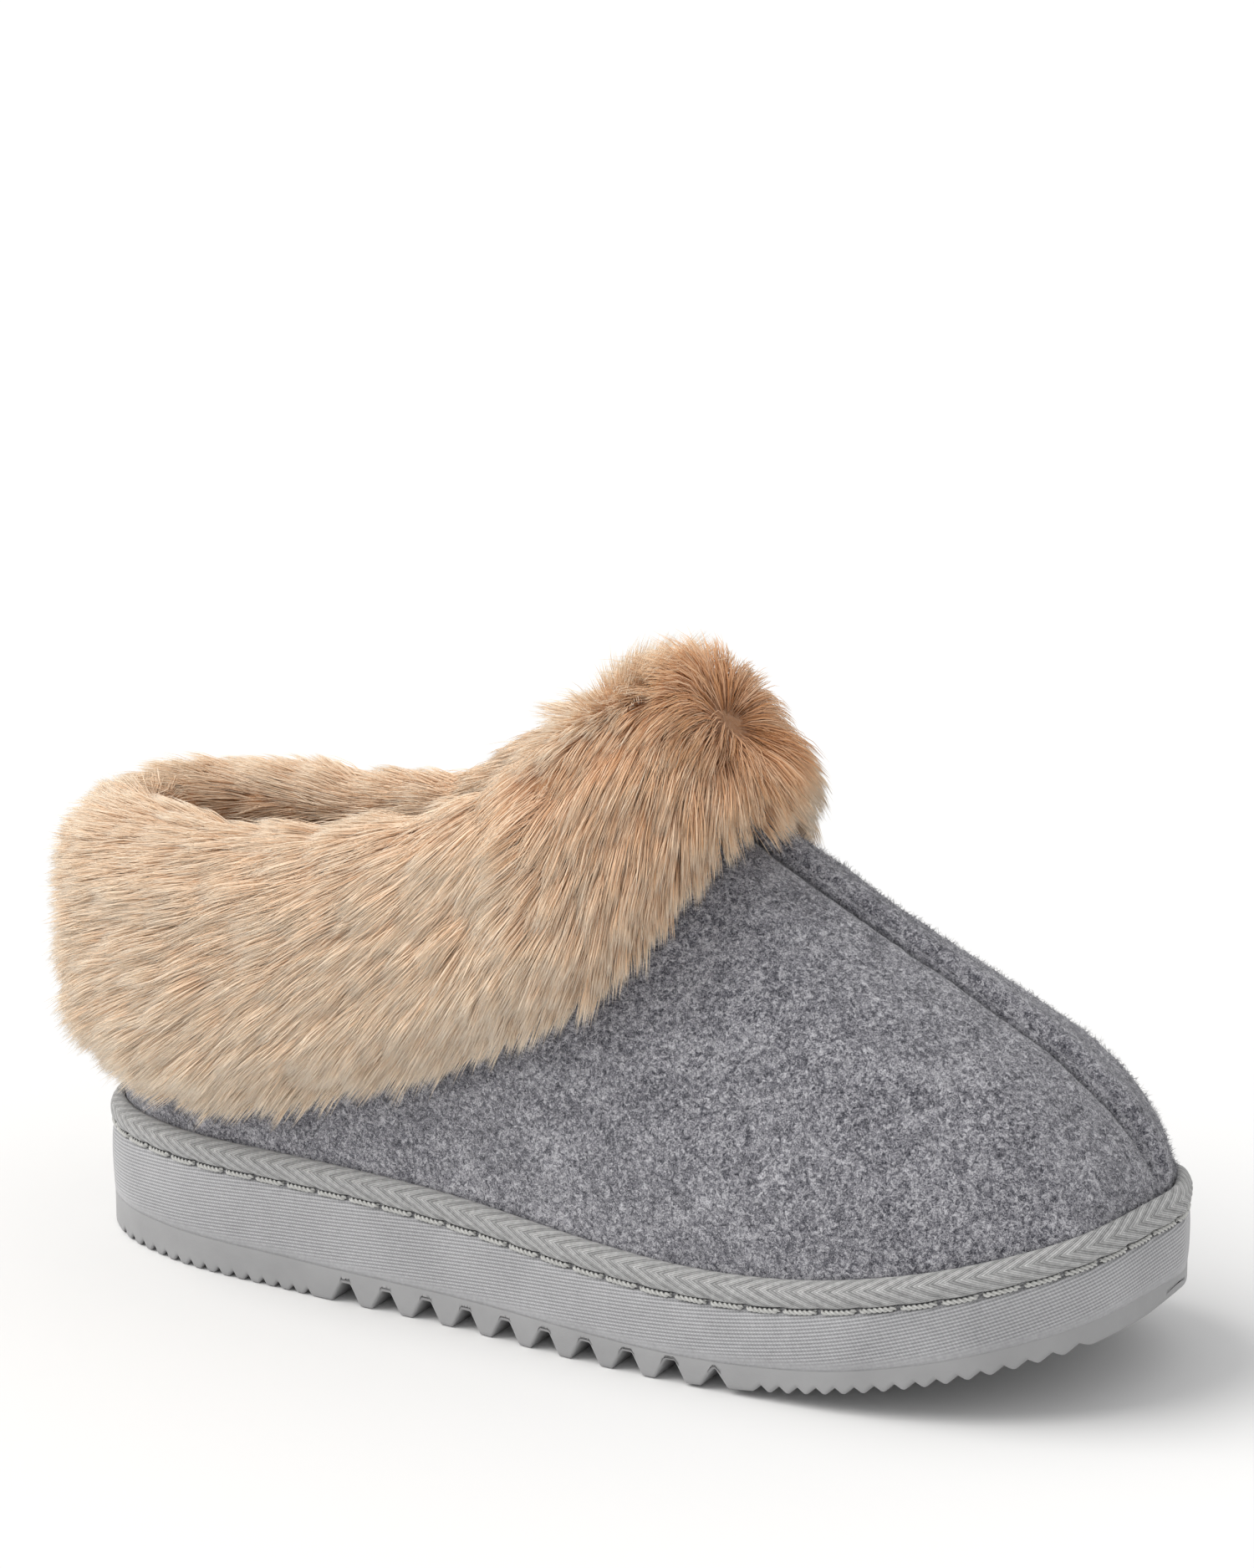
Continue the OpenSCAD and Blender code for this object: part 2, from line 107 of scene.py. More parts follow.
# ------------------------------------------------------------------ number helpers
def smooth(start, end, x):
    t = np.clip((x - start) / (end - start), 0, 1)
    return t * t * (3 - 2 * t)


def mix(a, b, t):
    return a + (b - a) * t


def gauss(x, width):
    return np.exp(-((x / width) ** 2))


def unit(a):
    return a / np.maximum(1e-9, np.linalg.norm(a, axis=-1, keepdims=True))


def blur_round(values, times):
    """blurs along the first axis, which closes on itself"""
    for _ in range(times):
        values = 0.25 * np.roll(values, 1, 0) + 0.5 * values + 0.25 * np.roll(values, -1, 0)
    return values


def hermite(start, end, start_slope, end_slope, t):
    return (start * (2 * t**3 - 3 * t**2 + 1) + start_slope * (t**3 - 2 * t**2 + t)
            + end * (3 * t**2 - 2 * t**3) + end_slope * (t**3 - t**2))


def arc_lengths(points):
    return np.r_[0, np.cumsum(np.linalg.norm(np.diff(points, axis=0), axis=1))]


def closed_curve(points, steps):
    before, after = np.roll(points, 1, 0), np.roll(points, -1, 0)
    back = np.linalg.norm(points - before, axis=1)[:, None]
    ahead = np.linalg.norm(after - points, axis=1)[:, None]
    slope = ((points - before) * (ahead / back) + (after - points) * (back / ahead))
    slope = slope / (back + ahead)
    gap = ahead[:, :, None]
    t = (np.arange(steps) / steps)[None, :, None]
    curve = hermite(points[:, None], after[:, None], slope[:, None] * gap,
                    np.roll(slope, -1, 0)[:, None] * gap, t)
    return curve.reshape(-1, points.shape[1])


def open_curve(points, count):
    points = np.array(points, float)
    arc = arc_lengths(points)
    slope = np.gradient(points, arc, axis=0)
    s = np.linspace(0, arc[-1], count)
    i = np.clip(np.searchsorted(arc, s, side="right") - 1, 0, len(points) - 2)
    gap = (arc[i + 1] - arc[i])[:, None]
    t = (s - arc[i])[:, None] / gap
    return hermite(points[i], points[i + 1], slope[i] * gap, slope[i + 1] * gap, t)


def resample(points, count):
    """evenly spaced points round a closed curve, and its length"""
    closed = np.vstack([points, points[:1]])
    arc = arc_lengths(closed)
    s = np.linspace(0, arc[-1], count, endpoint=False)
    return np.stack([np.interp(s, arc, column) for column in closed.T], 1), arc[-1]


def inward_normals(points):
    d = unit(np.roll(points, -1, 0) - np.roll(points, 1, 0))
    return np.stack([-d[:, 1], d[:, 0]], 1)


def wave_noise(points, size, seed, octaves=3):
    """smooth seeded noise from sums of sines, about -1 to 1, with waves of `size` mm"""
    rng = np.random.default_rng(seed)
    noise = np.zeros(points.shape[:-1])
    strength = 1.0
    total = 0.0
    for octave in range(octaves):
        for _ in range(5):
            wave = rng.normal(size=3)
            stretch = (2 * math.pi / size) * (2.0**octave) / np.linalg.norm(wave)
            wave *= stretch * rng.uniform(0.7, 1.3)
            noise += strength * np.sin(points @ wave + rng.uniform(0, 6.28))
        total += strength * 5**0.5
        strength *= 0.55
    return noise / total


# ------------------------------------------------------------------ plan of the sole
outline = [(0, 0)]
outline += [(x * scale_x, -outer * scale_y) for x, outer, _ in BREADTHS]
outline += [(LENGTH, TOE_Y)]
outline += [(x * scale_x, inner * scale_y) for x, _, inner in BREADTHS[::-1]]
edge_curve = closed_curve(np.array(outline, float), 60)
edge, perimeter = resample(edge_curve, 2400)
edge_inward = inward_normals(edge)

stitch_count = int(round(perimeter / STITCH_LENGTH))
stitch_pitch = perimeter / stitch_count


def edge_path(count):
    """points round the edge, their inward normals and their distances round it"""
    points, length = resample(edge_curve, count)
    return points, inward_normals(points), np.arange(count) / count * length


def fitted_period(period):
    """the nearest length that goes round the edge a whole number of times"""
    return perimeter / round(perimeter / period)


def stitch_pull(s, width):
    """1 where the thread goes in, falling to 0 on both sides"""
    return gauss((s + stitch_pitch / 2) % stitch_pitch - stitch_pitch / 2, width)


def halves(points):
    """x, y and arc length from heel to toe, for the outer and the inner half of a plan curve"""
    heel, toe = int(np.argmin(points[:, 0])), int(np.argmax(points[:, 0]))
    count = len(points)
    outer = points[(heel + np.arange((toe - heel) % count + 1)) % count]
    inner = points[(heel - np.arange((heel - toe) % count + 1)) % count]
    return {side: (np.maximum.accumulate(half[:, 0]), half[:, 1], arc_lengths(half))
            for side, half in ((OUTER, outer), (INNER, inner))}


# ------------------------------------------------------------------ heights
def spring(x):
    """rise of the sole towards the toe"""
    share = np.maximum(0, x / scale_x - SPRING_START) / (LAST_LENGTH - SPRING_START)
    return 19.7 * share ** 2.1


def stitch_z(x):
    """line of thread between the cover and the tape"""
    return (mix(25.2, 18.7, smooth(70.7, 198.7, x / scale_x)) + 0.944 * spring(x)) * scale_z


def outsole_z(x):
    """top of the outsole"""
    last_x = x / scale_x
    return 8.5 - 0.8 * smooth(40, 120, last_x) - 2.1 * smooth(120, 220, last_x) + spring(x)


def bed_z(x):
    """foot of the upper and underside of the footbed"""
    return stitch_z(x) + 0.87


def mid_y(x):
    """middle plane of the shoe, bending to the tip of the toe"""
    return TOE_Y * smooth(150, LAST_LENGTH, x / scale_x)


def ridge_z(x):
    """height of the upper over the middle plane"""
    last_x = x / scale_x
    toe = np.clip((x - (FELT_TOE_X - 30)) / 30, 0, 1)
    behind = np.maximum(0, 172 - last_x)
    instep = 104 + 0.55 * (175 - last_x) * scale_x + 0.0144 * behind * behind
    return np.minimum(150, instep) - 16 * (1 - np.sqrt(1 - toe * toe))


def top_z(x):
    return np.interp(x, TOP_LINE[:, 0] * scale_x, TOP_LINE[:, 1])


# ------------------------------------------------------------------ surface of the upper
felt_halves = halves(edge + FELT_INSET * edge_inward)


def rise(x, z, lift=0.0):
    """degrees up the section at which the upper reaches height z"""
    foot = bed_z(x)
    return np.degrees(np.arcsin(np.clip((z - foot) / (ridge_z(x) + lift - foot), 0, 1)))


def dome(side, s, degrees, lift):
    """point at arc distance s from the heel on one side, some degrees up the section"""
    plan_x, plan_y, arc = felt_halves[side]
    x, y = np.interp(s, arc, plan_x), np.interp(s, arc, plan_y)
    middle = mid_y(x)
    foot = bed_z(x)
    narrowing = np.maximum(0, np.cos(np.radians(degrees))) ** 0.87
    z = foot + (ridge_z(x) + lift - foot) * np.sin(np.radians(degrees))
    return np.stack([x, middle + (y - middle) * narrowing, z], -1)


def span(side):
    """arc length at which one side reaches the middle plane at the toe"""
    plan_x, plan_y, arc = felt_halves[side]
    return arc[(plan_y - mid_y(plan_x)) * side > 0.12].max()


def keep_to_side(side, grid, gap=0.0):
    """stops a grid at the middle plane; returns the plane's y at each point"""
    middle = mid_y(grid[..., 0])
    grid[..., 1] = side * np.maximum(side * grid[..., 1], side * middle + gap)
    return middle


# ------------------------------------------------------------------ mesh helpers
def new_mesh(name, verts, quads, material, tris=None, uv=None, uv_name="map"):
    co = np.array(verts, float).reshape(-1, 3)
    co[:, 0] -= ORIGIN_X
    co *= 0.001
    if tris is None:
        tris = np.zeros((0, 3), np.int64)
    loops = np.concatenate([quads.ravel(), tris.ravel()])
    starts = np.concatenate([np.arange(len(quads)) * 4, len(quads) * 4 + np.arange(len(tris)) * 3])
    mesh = bpy.data.meshes.new(name)
    mesh.vertices.add(len(co))
    mesh.vertices.foreach_set("co", co.astype(np.float32).ravel())
    mesh.loops.add(len(loops))
    mesh.loops.foreach_set("vertex_index", loops.astype(np.int32))
    mesh.polygons.add(len(starts))
    mesh.polygons.foreach_set("loop_start", starts.astype(np.int32))
    mesh.polygons.foreach_set("use_smooth", np.full(len(starts), True))
    if uv is not None:
        layer = mesh.uv_layers.new(name=uv_name)
        layer.data.foreach_set("uv", np.asarray(uv, np.float32).reshape(-1, 2)[loops].ravel())
    mesh.update(calc_edges=True)
    mesh.materials.append(material)
    piece = bpy.data.objects.new(name, mesh)
    bpy.context.scene.collection.objects.link(piece)
    return piece


def face_outwards(piece):
    """a closed mesh whose faces look inwards is turned inside out"""
    mesh = piece.data
    mesh.calc_loop_triangles()
    co = np.empty(len(mesh.vertices) * 3, np.float32)
    mesh.vertices.foreach_get("co", co)
    co = co.reshape(-1, 3).astype(float)
    co -= co.mean(0)
    tri = np.empty(len(mesh.loop_triangles) * 3, np.int32)
    mesh.loop_triangles.foreach_get("vertices", tri)
    first, second, third = (co[corner] for corner in tri.reshape(-1, 3).T)
    if (first * np.cross(second, third)).sum() < 0:
        mesh.flip_normals()


def finish_piece(piece, node):
    face_outwards(piece)
    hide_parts(node)
    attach(piece, "root")


def grid_quads(rows, cols, wrap_rows=False, wrap_cols=False, base=0, flip=False):
    i = np.arange(rows if wrap_rows else rows - 1)[:, None]
    j = np.arange(cols if wrap_cols else cols - 1)[None, :]
    next_i, next_j = (i + 1) % rows, (j + 1) % cols
    corners = (i * cols + j, i * cols + next_j, next_i * cols + next_j, next_i * cols + j)
    quads = np.stack(np.broadcast_arrays(*corners), -1).reshape(-1, 4) + base
    return quads[:, ::-1] if flip else quads


def sheet_quads(rows, cols, flip):
    """closed sheet between two grids, the second grid's points after the first's"""
    size = rows * cols
    top = grid_quads(rows, cols, flip=not flip)
    bottom = grid_quads(rows, cols, base=size, flip=flip)
    a = np.arange(rows - 1) * cols
    b = a + cols
    c, d = a + cols - 1, b + cols - 1
    j = np.arange(cols - 1)
    k = (rows - 1) * cols + j
    rim = np.concatenate([
        np.stack([a, size + a, size + b, b], 1),
        np.stack([c, d, size + d, size + c], 1),
        np.stack([j, j + 1, size + j + 1, size + j], 1),
        np.stack([k, size + k, size + k + 1, k + 1], 1),
    ])
    return np.concatenate([top, bottom, rim[:, ::-1] if flip else rim])


def grid_normals(grid, wrap=False):
    along = np.roll(grid, -1, 0) - np.roll(grid, 1, 0) if wrap else np.gradient(grid, axis=0)
    return unit(np.cross(along, np.gradient(grid, axis=1)))


def strands_mesh(name, paths, radii, tone, material, seed, reach=None):
    """closed three-sided strands along paths (strands x points x 3)

    The map holds each strand's tone in u, and root 0 to tip 1, times its reach, in v.
    """
    count, steps = paths.shape[:2]
    rng = np.random.default_rng(seed)
    along = unit(np.gradient(paths, axis=1))
    across = unit(np.cross(along, unit(rng.normal(size=(count, 1, 3)))))
    third = np.cross(along, across)
    turn = np.array([0, 2 * math.pi / 3, 4 * math.pi / 3])[None, None, :, None]
    spokes = across[:, 1:-1, None] * np.cos(turn) + third[:, 1:-1, None] * np.sin(turn)
    rings = paths[:, 1:-1, None] + radii[:, :, None, None] * spokes
    ring_count = steps - 2
    verts = np.concatenate([paths[:, :1], rings.reshape(count, ring_count * 3, 3),
                            paths[:, -1:]], 1)
    size = verts.shape[1]
    height = np.concatenate([[0.0], np.repeat(np.linspace(0, 1, steps)[1:-1], 3), [1.0]])
    j = np.arange(3)
    after = (j + 1) % 3
    quads = np.concatenate([np.stack([a + j, a + after, a + 3 + after, a + 3 + j], 1)
                            for a in 1 + 3 * np.arange(ring_count - 1)])
    root = np.stack([0 * j, 1 + after, 1 + j], 1)
    tip = np.stack([0 * j + size - 1, size - 4 + j, size - 4 + after], 1)
    tris = np.concatenate([root, tip])
    base = (np.arange(count) * size)[:, None, None]
    if reach is None:
        reach = np.ones(count)
    uv = np.stack(np.broadcast_arrays(np.clip(tone, 0.01, 0.99)[:, None],
                                      mix(0.02, 0.98, height)[None, :] * reach[:, None]), -1)
    return new_mesh(name, verts, (quads[None] + base).reshape(-1, 4), material,
                    tris=(tris[None] + base).reshape(-1, 3), uv=uv, uv_name="OFBake")


# ------------------------------------------------------------------ material helpers
def srgb(red, green, blue):
    c = np.array([red, green, blue]) / 255.0
    c = np.where(c <= 0.04045, c / 12.92, ((c + 0.055) / 1.055) ** 2.4)
    return (float(c[0]), float(c[1]), float(c[2]), 1.0)


def shade(rgb, factor):
    """a colour made lighter or darker"""
    return tuple(min(1.0, channel * factor) for channel in srgb(*rgb)[:3]) + (1.0,)


class Material:
    """a principled material and short ways to add nodes to it"""

    SOCKETS = {"color": "Base Color", "rough": "Roughness", "normal": "Normal",
               "sheen": "Sheen Weight", "specular": "Specular IOR Level",
               "sheen_tint": "Sheen Tint"}

    def __init__(self, name):
        self.material = bpy.data.materials.new(name)
        self.material.use_nodes = True
        self.tree = self.material.node_tree
        self.tree.nodes.clear()
        output = self.node("ShaderNodeOutputMaterial")
        self.surface = self.node("ShaderNodeBsdfPrincipled")
        self.feed(output.inputs[0], self.surface.outputs[0])

    def node(self, kind, **settings):
        node = self.tree.nodes.new(kind)
        for key, value in settings.items():
            setattr(node, key, value)
        return node

    def feed(self, socket, value):
        """gives a socket a fixed value or a link"""
        if isinstance(value, (int, float, tuple)):
            socket.default_value = value
        else:
            self.tree.links.new(value, socket)

    def coords(self):
        return self.node("ShaderNodeTexCoord").outputs["Object"]

    def uv_axes(self, name):
        split = self.node("ShaderNodeSeparateXYZ")
        self.feed(split.inputs[0], self.node("ShaderNodeUVMap", uv_map=name).outputs[0])
        return split.outputs[0], split.outputs[1]

    def noise(self, vector, scale, detail, rough, distortion=0.0):
        node = self.node("ShaderNodeTexNoise")
        for key, value in (("Scale", scale), ("Detail", detail), ("Roughness", rough),
                           ("Distortion", distortion), ("Vector", vector)):
            self.feed(node.inputs[key], value)
        return node.outputs["Fac"]

    def ramp(self, factor, stops):
        node = self.node("ShaderNodeValToRGB")
        elements = node.color_ramp.elements
        while len(elements) < len(stops):
            elements.new(0.5)
        for element, (position, color) in zip(elements, stops):
            element.position = position
            element.color = color
        self.feed(node.inputs[0], factor)
        return node.outputs[0]

    def math(self, operation, *values):
        node = self.node("ShaderNodeMath", operation=operation)
        for socket, value in zip(node.inputs, values):
            self.feed(socket, value)
        return node.outputs[0]

    def add(self, a, b):
        return self.math("ADD", a, b)

    def subtract(self, a, b):
        return self.math("SUBTRACT", a, b)

    def times(self, a, b):
        return self.math("MULTIPLY", a, b)

    def wave(self, value, period):
        return self.math("SINE", self.times(value, 2 * math.pi / period))

    def mix_color(self, factor, a, b):
        node = self.node("ShaderNodeMix", data_type="RGBA")
        for index, value in ((0, factor), (6, a), (7, b)):
            self.feed(node.inputs[index], value)
        return node.outputs[2]

    def bump(self, height, distance, strength, under=None):
        node = self.node("ShaderNodeBump")
        self.feed(node.inputs["Strength"], strength)
        self.feed(node.inputs["Distance"], distance)
        self.feed(node.inputs["Height"], height)
        if under is not None:
            self.feed(node.inputs["Normal"], under)
        return node.outputs[0]

    def finish(self, **inputs):
        for key, value in inputs.items():
            self.feed(self.surface.inputs[self.SOCKETS[key]], value)
        return self.material


# ------------------------------------------------------------------ materials
def felt_material():
    m = Material("felt")
    coords = m.coords()
    clouds = m.noise(coords, scale=120, detail=2, rough=0.5, distortion=0.3)
    flecks = m.noise(coords, scale=780, detail=3, rough=0.65, distortion=1.0)
    fibres = m.noise(coords, scale=1900, detail=4, rough=0.7, distortion=1.6)
    tone = m.add(m.times(clouds, 0.09), m.add(m.times(flecks, 0.41), m.times(fibres, 0.60)))
    color = m.ramp(tone, [(0.43, srgb(40, 40, 48)), (0.495, srgb(87, 87, 95)),
                          (0.55, srgb(134, 133, 140)), (0.65, srgb(208, 207, 212))])
    normal = m.bump(fibres, distance=0.00035, strength=0.9)
    normal = m.bump(flecks, distance=0.0006, strength=0.45, under=normal)
    return m.finish(color=color, rough=0.95, normal=normal, sheen=0.35, specular=0.12)


def fuzz_material():
    """fibre colour: map u is the fibre's own tone"""
    m = Material("felt_fuzz")
    tone, _ = m.uv_axes("OFBake")
    color = m.ramp(tone, [(0.0, srgb(84, 84, 92)), (0.35, srgb(122, 122, 129)),
                          (0.75, srgb(166, 166, 171)), (1.0, srgb(208, 208, 212))])
    return m.finish(color=color, rough=0.9, sheen=0.2, specular=0.1)


def rubber_material(name, rgb, contrast=0.03, rough=0.62):
    m = Material(name)
    coords = m.coords()
    clouds = m.noise(coords, scale=60, detail=4, rough=0.6)
    grain = m.noise(coords, scale=2600, detail=2, rough=0.5)
    color = m.ramp(clouds, [(0.3, shade(rgb, 1 - 2.2 * contrast)),
                            (0.7, shade(rgb, 1 + 2.2 * contrast))])
    normal = m.bump(grain, distance=0.00008, strength=0.5)
    return m.finish(color=color, rough=rough, normal=normal, specular=0.35)


def fabric_material(name, rgb, scale, contrast, relief, sheen):
    m = Material(name)
    coords = m.coords()
    fibres = m.noise(coords, scale=scale, detail=3, rough=0.6, distortion=0.5)
    clouds = m.noise(coords, scale=scale * 0.12, detail=2, rough=0.5)
    tone = m.add(m.times(fibres, 0.65), m.times(clouds, 0.35))
    color = m.ramp(tone, [(0.35, shade(rgb, 1 - 2 * contrast)),
                          (0.65, shade(rgb, 1 + 2 * contrast))])
    normal = m.bump(fibres, distance=relief, strength=0.8)
    return m.finish(color=color, rough=0.92, normal=normal, sheen=sheen, specular=0.1)


def cover_material():
    """ribbed cloth: ribs along the sole, crossed by a finer weave; the map is in metres"""
    m = Material("cover_cloth")
    u, v = m.uv_axes("map")
    height = m.times(v, 1000.0)
    # the ribs climb slowly towards the toe, closing on themselves round the sole
    slope = COVER_RIB * round(perimeter * COVER_CLIMB / COVER_RIB) / perimeter
    ribs = m.wave(m.subtract(height, m.times(u, 1000.0 * slope)), COVER_RIB)
    weft = m.wave(m.subtract(m.times(u, 1000.0), m.times(v, 420.0)), fitted_period(0.7))
    # the ribs fade out at the glued lower edge
    fade = m.node("ShaderNodeMapRange", interpolation_type="SMOOTHSTEP")
    m.feed(fade.inputs[0], height)
    for key, value in (("From Min", 0.8), ("From Max", 3.2), ("To Min", 0.12), ("To Max", 1.0)):
        fade.inputs[key].default_value = value
    ribs = m.times(ribs, fade.outputs[0])
    relief = m.add(m.times(ribs, 0.5), m.times(m.times(weft, ribs), 0.3))
    fibres = m.noise(m.coords(), scale=1300, detail=3, rough=0.6)
    clouds = m.noise(m.coords(), scale=60, detail=2, rough=0.5)
    tone = m.add(m.add(m.times(relief, 0.42), 0.2),
                 m.add(m.times(fibres, 0.35), m.times(clouds, 0.25)))
    color = m.ramp(tone, [(0.1, srgb(114, 114, 117)), (0.5, srgb(160, 160, 162)),
                          (0.9, srgb(202, 202, 205))])
    normal = m.bump(relief, distance=0.00015, strength=0.7)
    return m.finish(color=color, rough=0.6, normal=normal, sheen=0.2, specular=0.3)


def tape_material():
    """herringbone: slanted ribs that turn over at the tape's middle; the map is in metres"""
    m = Material("herringbone_tape")
    u, v = m.uv_axes("map")
    from_middle = m.math("ABSOLUTE", m.subtract(m.times(v, 1000.0), TAPE_MIDDLE))
    phase = m.subtract(m.times(u, 1000.0), m.times(from_middle, TAPE_SLANT))
    bold = m.wave(phase, fitted_period(TAPE_BOLD_RIB))
    ribs = m.wave(phase, fitted_period(TAPE_FINE_RIB))
    fibres = m.noise(m.coords(), scale=900, detail=3, rough=0.65)
    relief = m.add(m.times(bold, 0.4), m.times(ribs, 0.5))
    tone = m.add(m.add(m.times(relief, 0.26), 0.24), m.times(fibres, 0.5))
    color = m.ramp(tone, [(0.15, srgb(108, 108, 108)), (0.5, srgb(173, 173, 173)),
                          (0.85, srgb(224, 224, 223))])
    normal = m.bump(relief, distance=0.0003, strength=0.8)
    return m.finish(color=color, rough=0.8, normal=normal, sheen=0.2, specular=0.2)


def fur_material():
    """strand colour: map u is the strand's tone, painted light and shade included, map v runs from
    root 0 to tip 1
    """
    m = Material("fur")
    tone, height = m.uv_axes("OFBake")
    dark = m.ramp(height, [(0.0, srgb(146, 88, 50)), (0.35, srgb(216, 155, 102)),
                           (0.75, srgb(240, 190, 140)), (1.0, srgb(247, 210, 168))])
    light = m.ramp(height, [(0.0, srgb(250, 205, 167)), (0.35, srgb(255, 225, 194)),
                            (0.75, srgb(255, 236, 212)), (1.0, srgb(255, 244, 228))])
    return m.finish(color=m.mix_color(tone, dark, light), rough=0.62, sheen=0.12,
                    specular=0.2, sheen_tint=(1.0, 0.86, 0.72, 1))


def ground_material():
    m = Material("fur_ground")
    coords = m.coords()
    grain = m.noise(coords, scale=420, detail=4, rough=0.65, distortion=0.8)
    color = m.ramp(grain, [(0.3, srgb(180, 134, 98)), (0.7, srgb(208, 166, 130))])
    # the cloth is in the shade of the pile where the pile parts on the crown
    parting = m.node("ShaderNodeVectorMath", operation="DISTANCE")
    m.feed(parting.inputs[0], coords)
    parting.inputs[1].default_value = ((CROWN[0] - ORIGIN_X) / 1000, CROWN[1] / 1000,
                                       CROWN[2] / 1000)
    near = m.ramp(parting.outputs["Value"], [(0.008, (1, 1, 1, 1)), (0.022, (0, 0, 0, 1))])
    color = m.mix_color(near, color, srgb(128, 84, 52))
    normal = m.bump(grain, distance=0.0012, strength=0.8)
    return m.finish(color=color, rough=0.95, normal=normal, sheen=0.2, specular=0.08)


materials = {
    "rubber": rubber_material("outsole_rubber", (154, 154, 155)),
    "cover": cover_material(),
    "tape": tape_material(),
    "thread": fabric_material("thread", (196, 196, 193), scale=5200, contrast=0.10,
                              relief=0.00015, sheen=0.2),
    "felt": felt_material(),
    "fuzz": fuzz_material(),
    "plush": fabric_material("plush", (206, 172, 138), scale=900, contrast=0.14,
                             relief=0.0008, sheen=0.4),
    "ground": ground_material(),
    "fur": fur_material(),
}


# ------------------------------------------------------------------ outsole
# section of the moulded edge, from the top face round to the underside:
# inset from the edge, share of the way from underside to top, added height
OUTSOLE_SECTION = [
    (1.2, 1, 0), (0.16, 1, 0), (0.04, 1, -0.05), (0, 1, -0.2), (0, 0.6, 0), (0, 0.3, 0),
    (0, 0, 1.2), (0.06, 0, 0.6), (0.25, 0, 0.22), (0.7, 0, 0.03), (1.6, 0, 0),
]


def tread():
    """stations along x and the depth cut up into the underside at each"""
    gap_count, gap_pitch, first_gap = 10, 10.84 * scale_x, 83.1 * scale_x
    groove_pitch = 4.25
    last_gap = first_gap + (gap_count - 1) * gap_pitch
    heel_last = math.floor((first_gap - 23.3 * scale_x) / groove_pitch)
    heel_first_x = first_gap - 10.6 * scale_x - heel_last * groove_pitch
    fore_first_x = last_gap + 11.1 * scale_x
    fore_last = math.floor((LENGTH - 7 - fore_first_x) / groove_pitch)

    # middle x, width at the mouth, width at the roof, depth
    cuts = [(heel_first_x + i * groove_pitch, groove_pitch * 0.58, 0.2, 1.5)
            for i in range(heel_last + 1)]
    cuts += [(first_gap + i * gap_pitch, 7.8, 2.4, 4.7) for i in range(gap_count - 1)]
    cuts += [(last_gap, 6.8, 0.6, 4.2)]
    cuts += [(fore_first_x + i * groove_pitch, groove_pitch * 0.86, 0.2, 1.5)
             for i in range(fore_last + 1)]

    stations = np.arange(-2, LENGTH + 2, 0.1)
    depths = np.zeros_like(stations)
    for middle, mouth, roof, depth in cuts:
        off = np.abs(stations - middle)
        wall = np.clip((mouth / 2 - off) / ((mouth - roof) / 2), 0, 1)
        depths = np.maximum(depths, depth * wall)
    # the moulded edges of the bars are a little rounded
    for _ in range(4):
        depths[1:-1] = 0.25 * depths[:-2] + 0.5 * depths[1:-1] + 0.25 * depths[2:]
    return stations, depths


def build_outsole():
    stations, depths = tread()

    def underside_z(x):
        z = np.where(x < 3, np.interp(x, [0, 0.9, 3], [2.8, 1.1, 0]), spring(x))
        z = z + np.where(x > LENGTH - 4, (x - (LENGTH - 4)) ** 2 * 0.16, 0)
        return z + np.interp(x, stations, depths)

    edge_x = edge[::2, 0]
    near_ends = edge_x[(edge_x < 14) | (edge_x > LENGTH - 22)]
    at_ends = [0.02, 0.05, 0.1, LENGTH - 0.1, LENGTH - 0.05, LENGTH - 0.02]
    xs = np.concatenate([np.arange(0, LENGTH, 0.25), near_ends, at_ends])
    xs = np.unique(np.round(np.clip(xs, 0.01, LENGTH - 0.01), 3))

    columns = {}
    for side, (plan_x, plan_y, arc) in halves(edge).items():
        y = np.interp(xs, plan_x, plan_y)
        s = np.interp(xs, plan_x, arc)
        spaced = arc + np.arange(len(arc)) * 1e-9
        normal_x = np.interp(s, arc, np.gradient(plan_y, spaced) * side)
        normal_y = np.interp(s, arc, np.gradient(plan_x, spaced) * -side)
        breadth = np.maximum(0.02, np.abs(y - mid_y(xs)))
        columns[side] = []
        for inset, share, added in OUTSOLE_SECTION:
            inset = np.minimum(inset, breadth * 0.8)
            point_x, point_y = xs + normal_x * inset, y + normal_y * inset
            z = mix(underside_z(point_x), outsole_z(point_x), share) + added
            columns[side].append(np.stack([point_x, point_y, z], -1))
    grid = np.stack(columns[OUTER] + columns[INNER][::-1], 1)
    rows, cols = grid.shape[:2]
    # each end is closed straight across from the outer side's points to the inner side's
    k = np.arange(cols // 2 - 1)
    heel_end = np.stack([cols - 1 - k, cols - 2 - k, k + 1, k], 1)
    toe_end = np.stack([k, k + 1, cols - 2 - k, cols - 1 - k], 1) + (rows - 1) * cols
    quads = np.concatenate([grid_quads(rows, cols, wrap_cols=True), heel_end, toe_end])
    piece = new_mesh("outsole_moulded", grid, quads[:, ::-1], materials["rubber"])
    finish_piece(piece, "outsole")


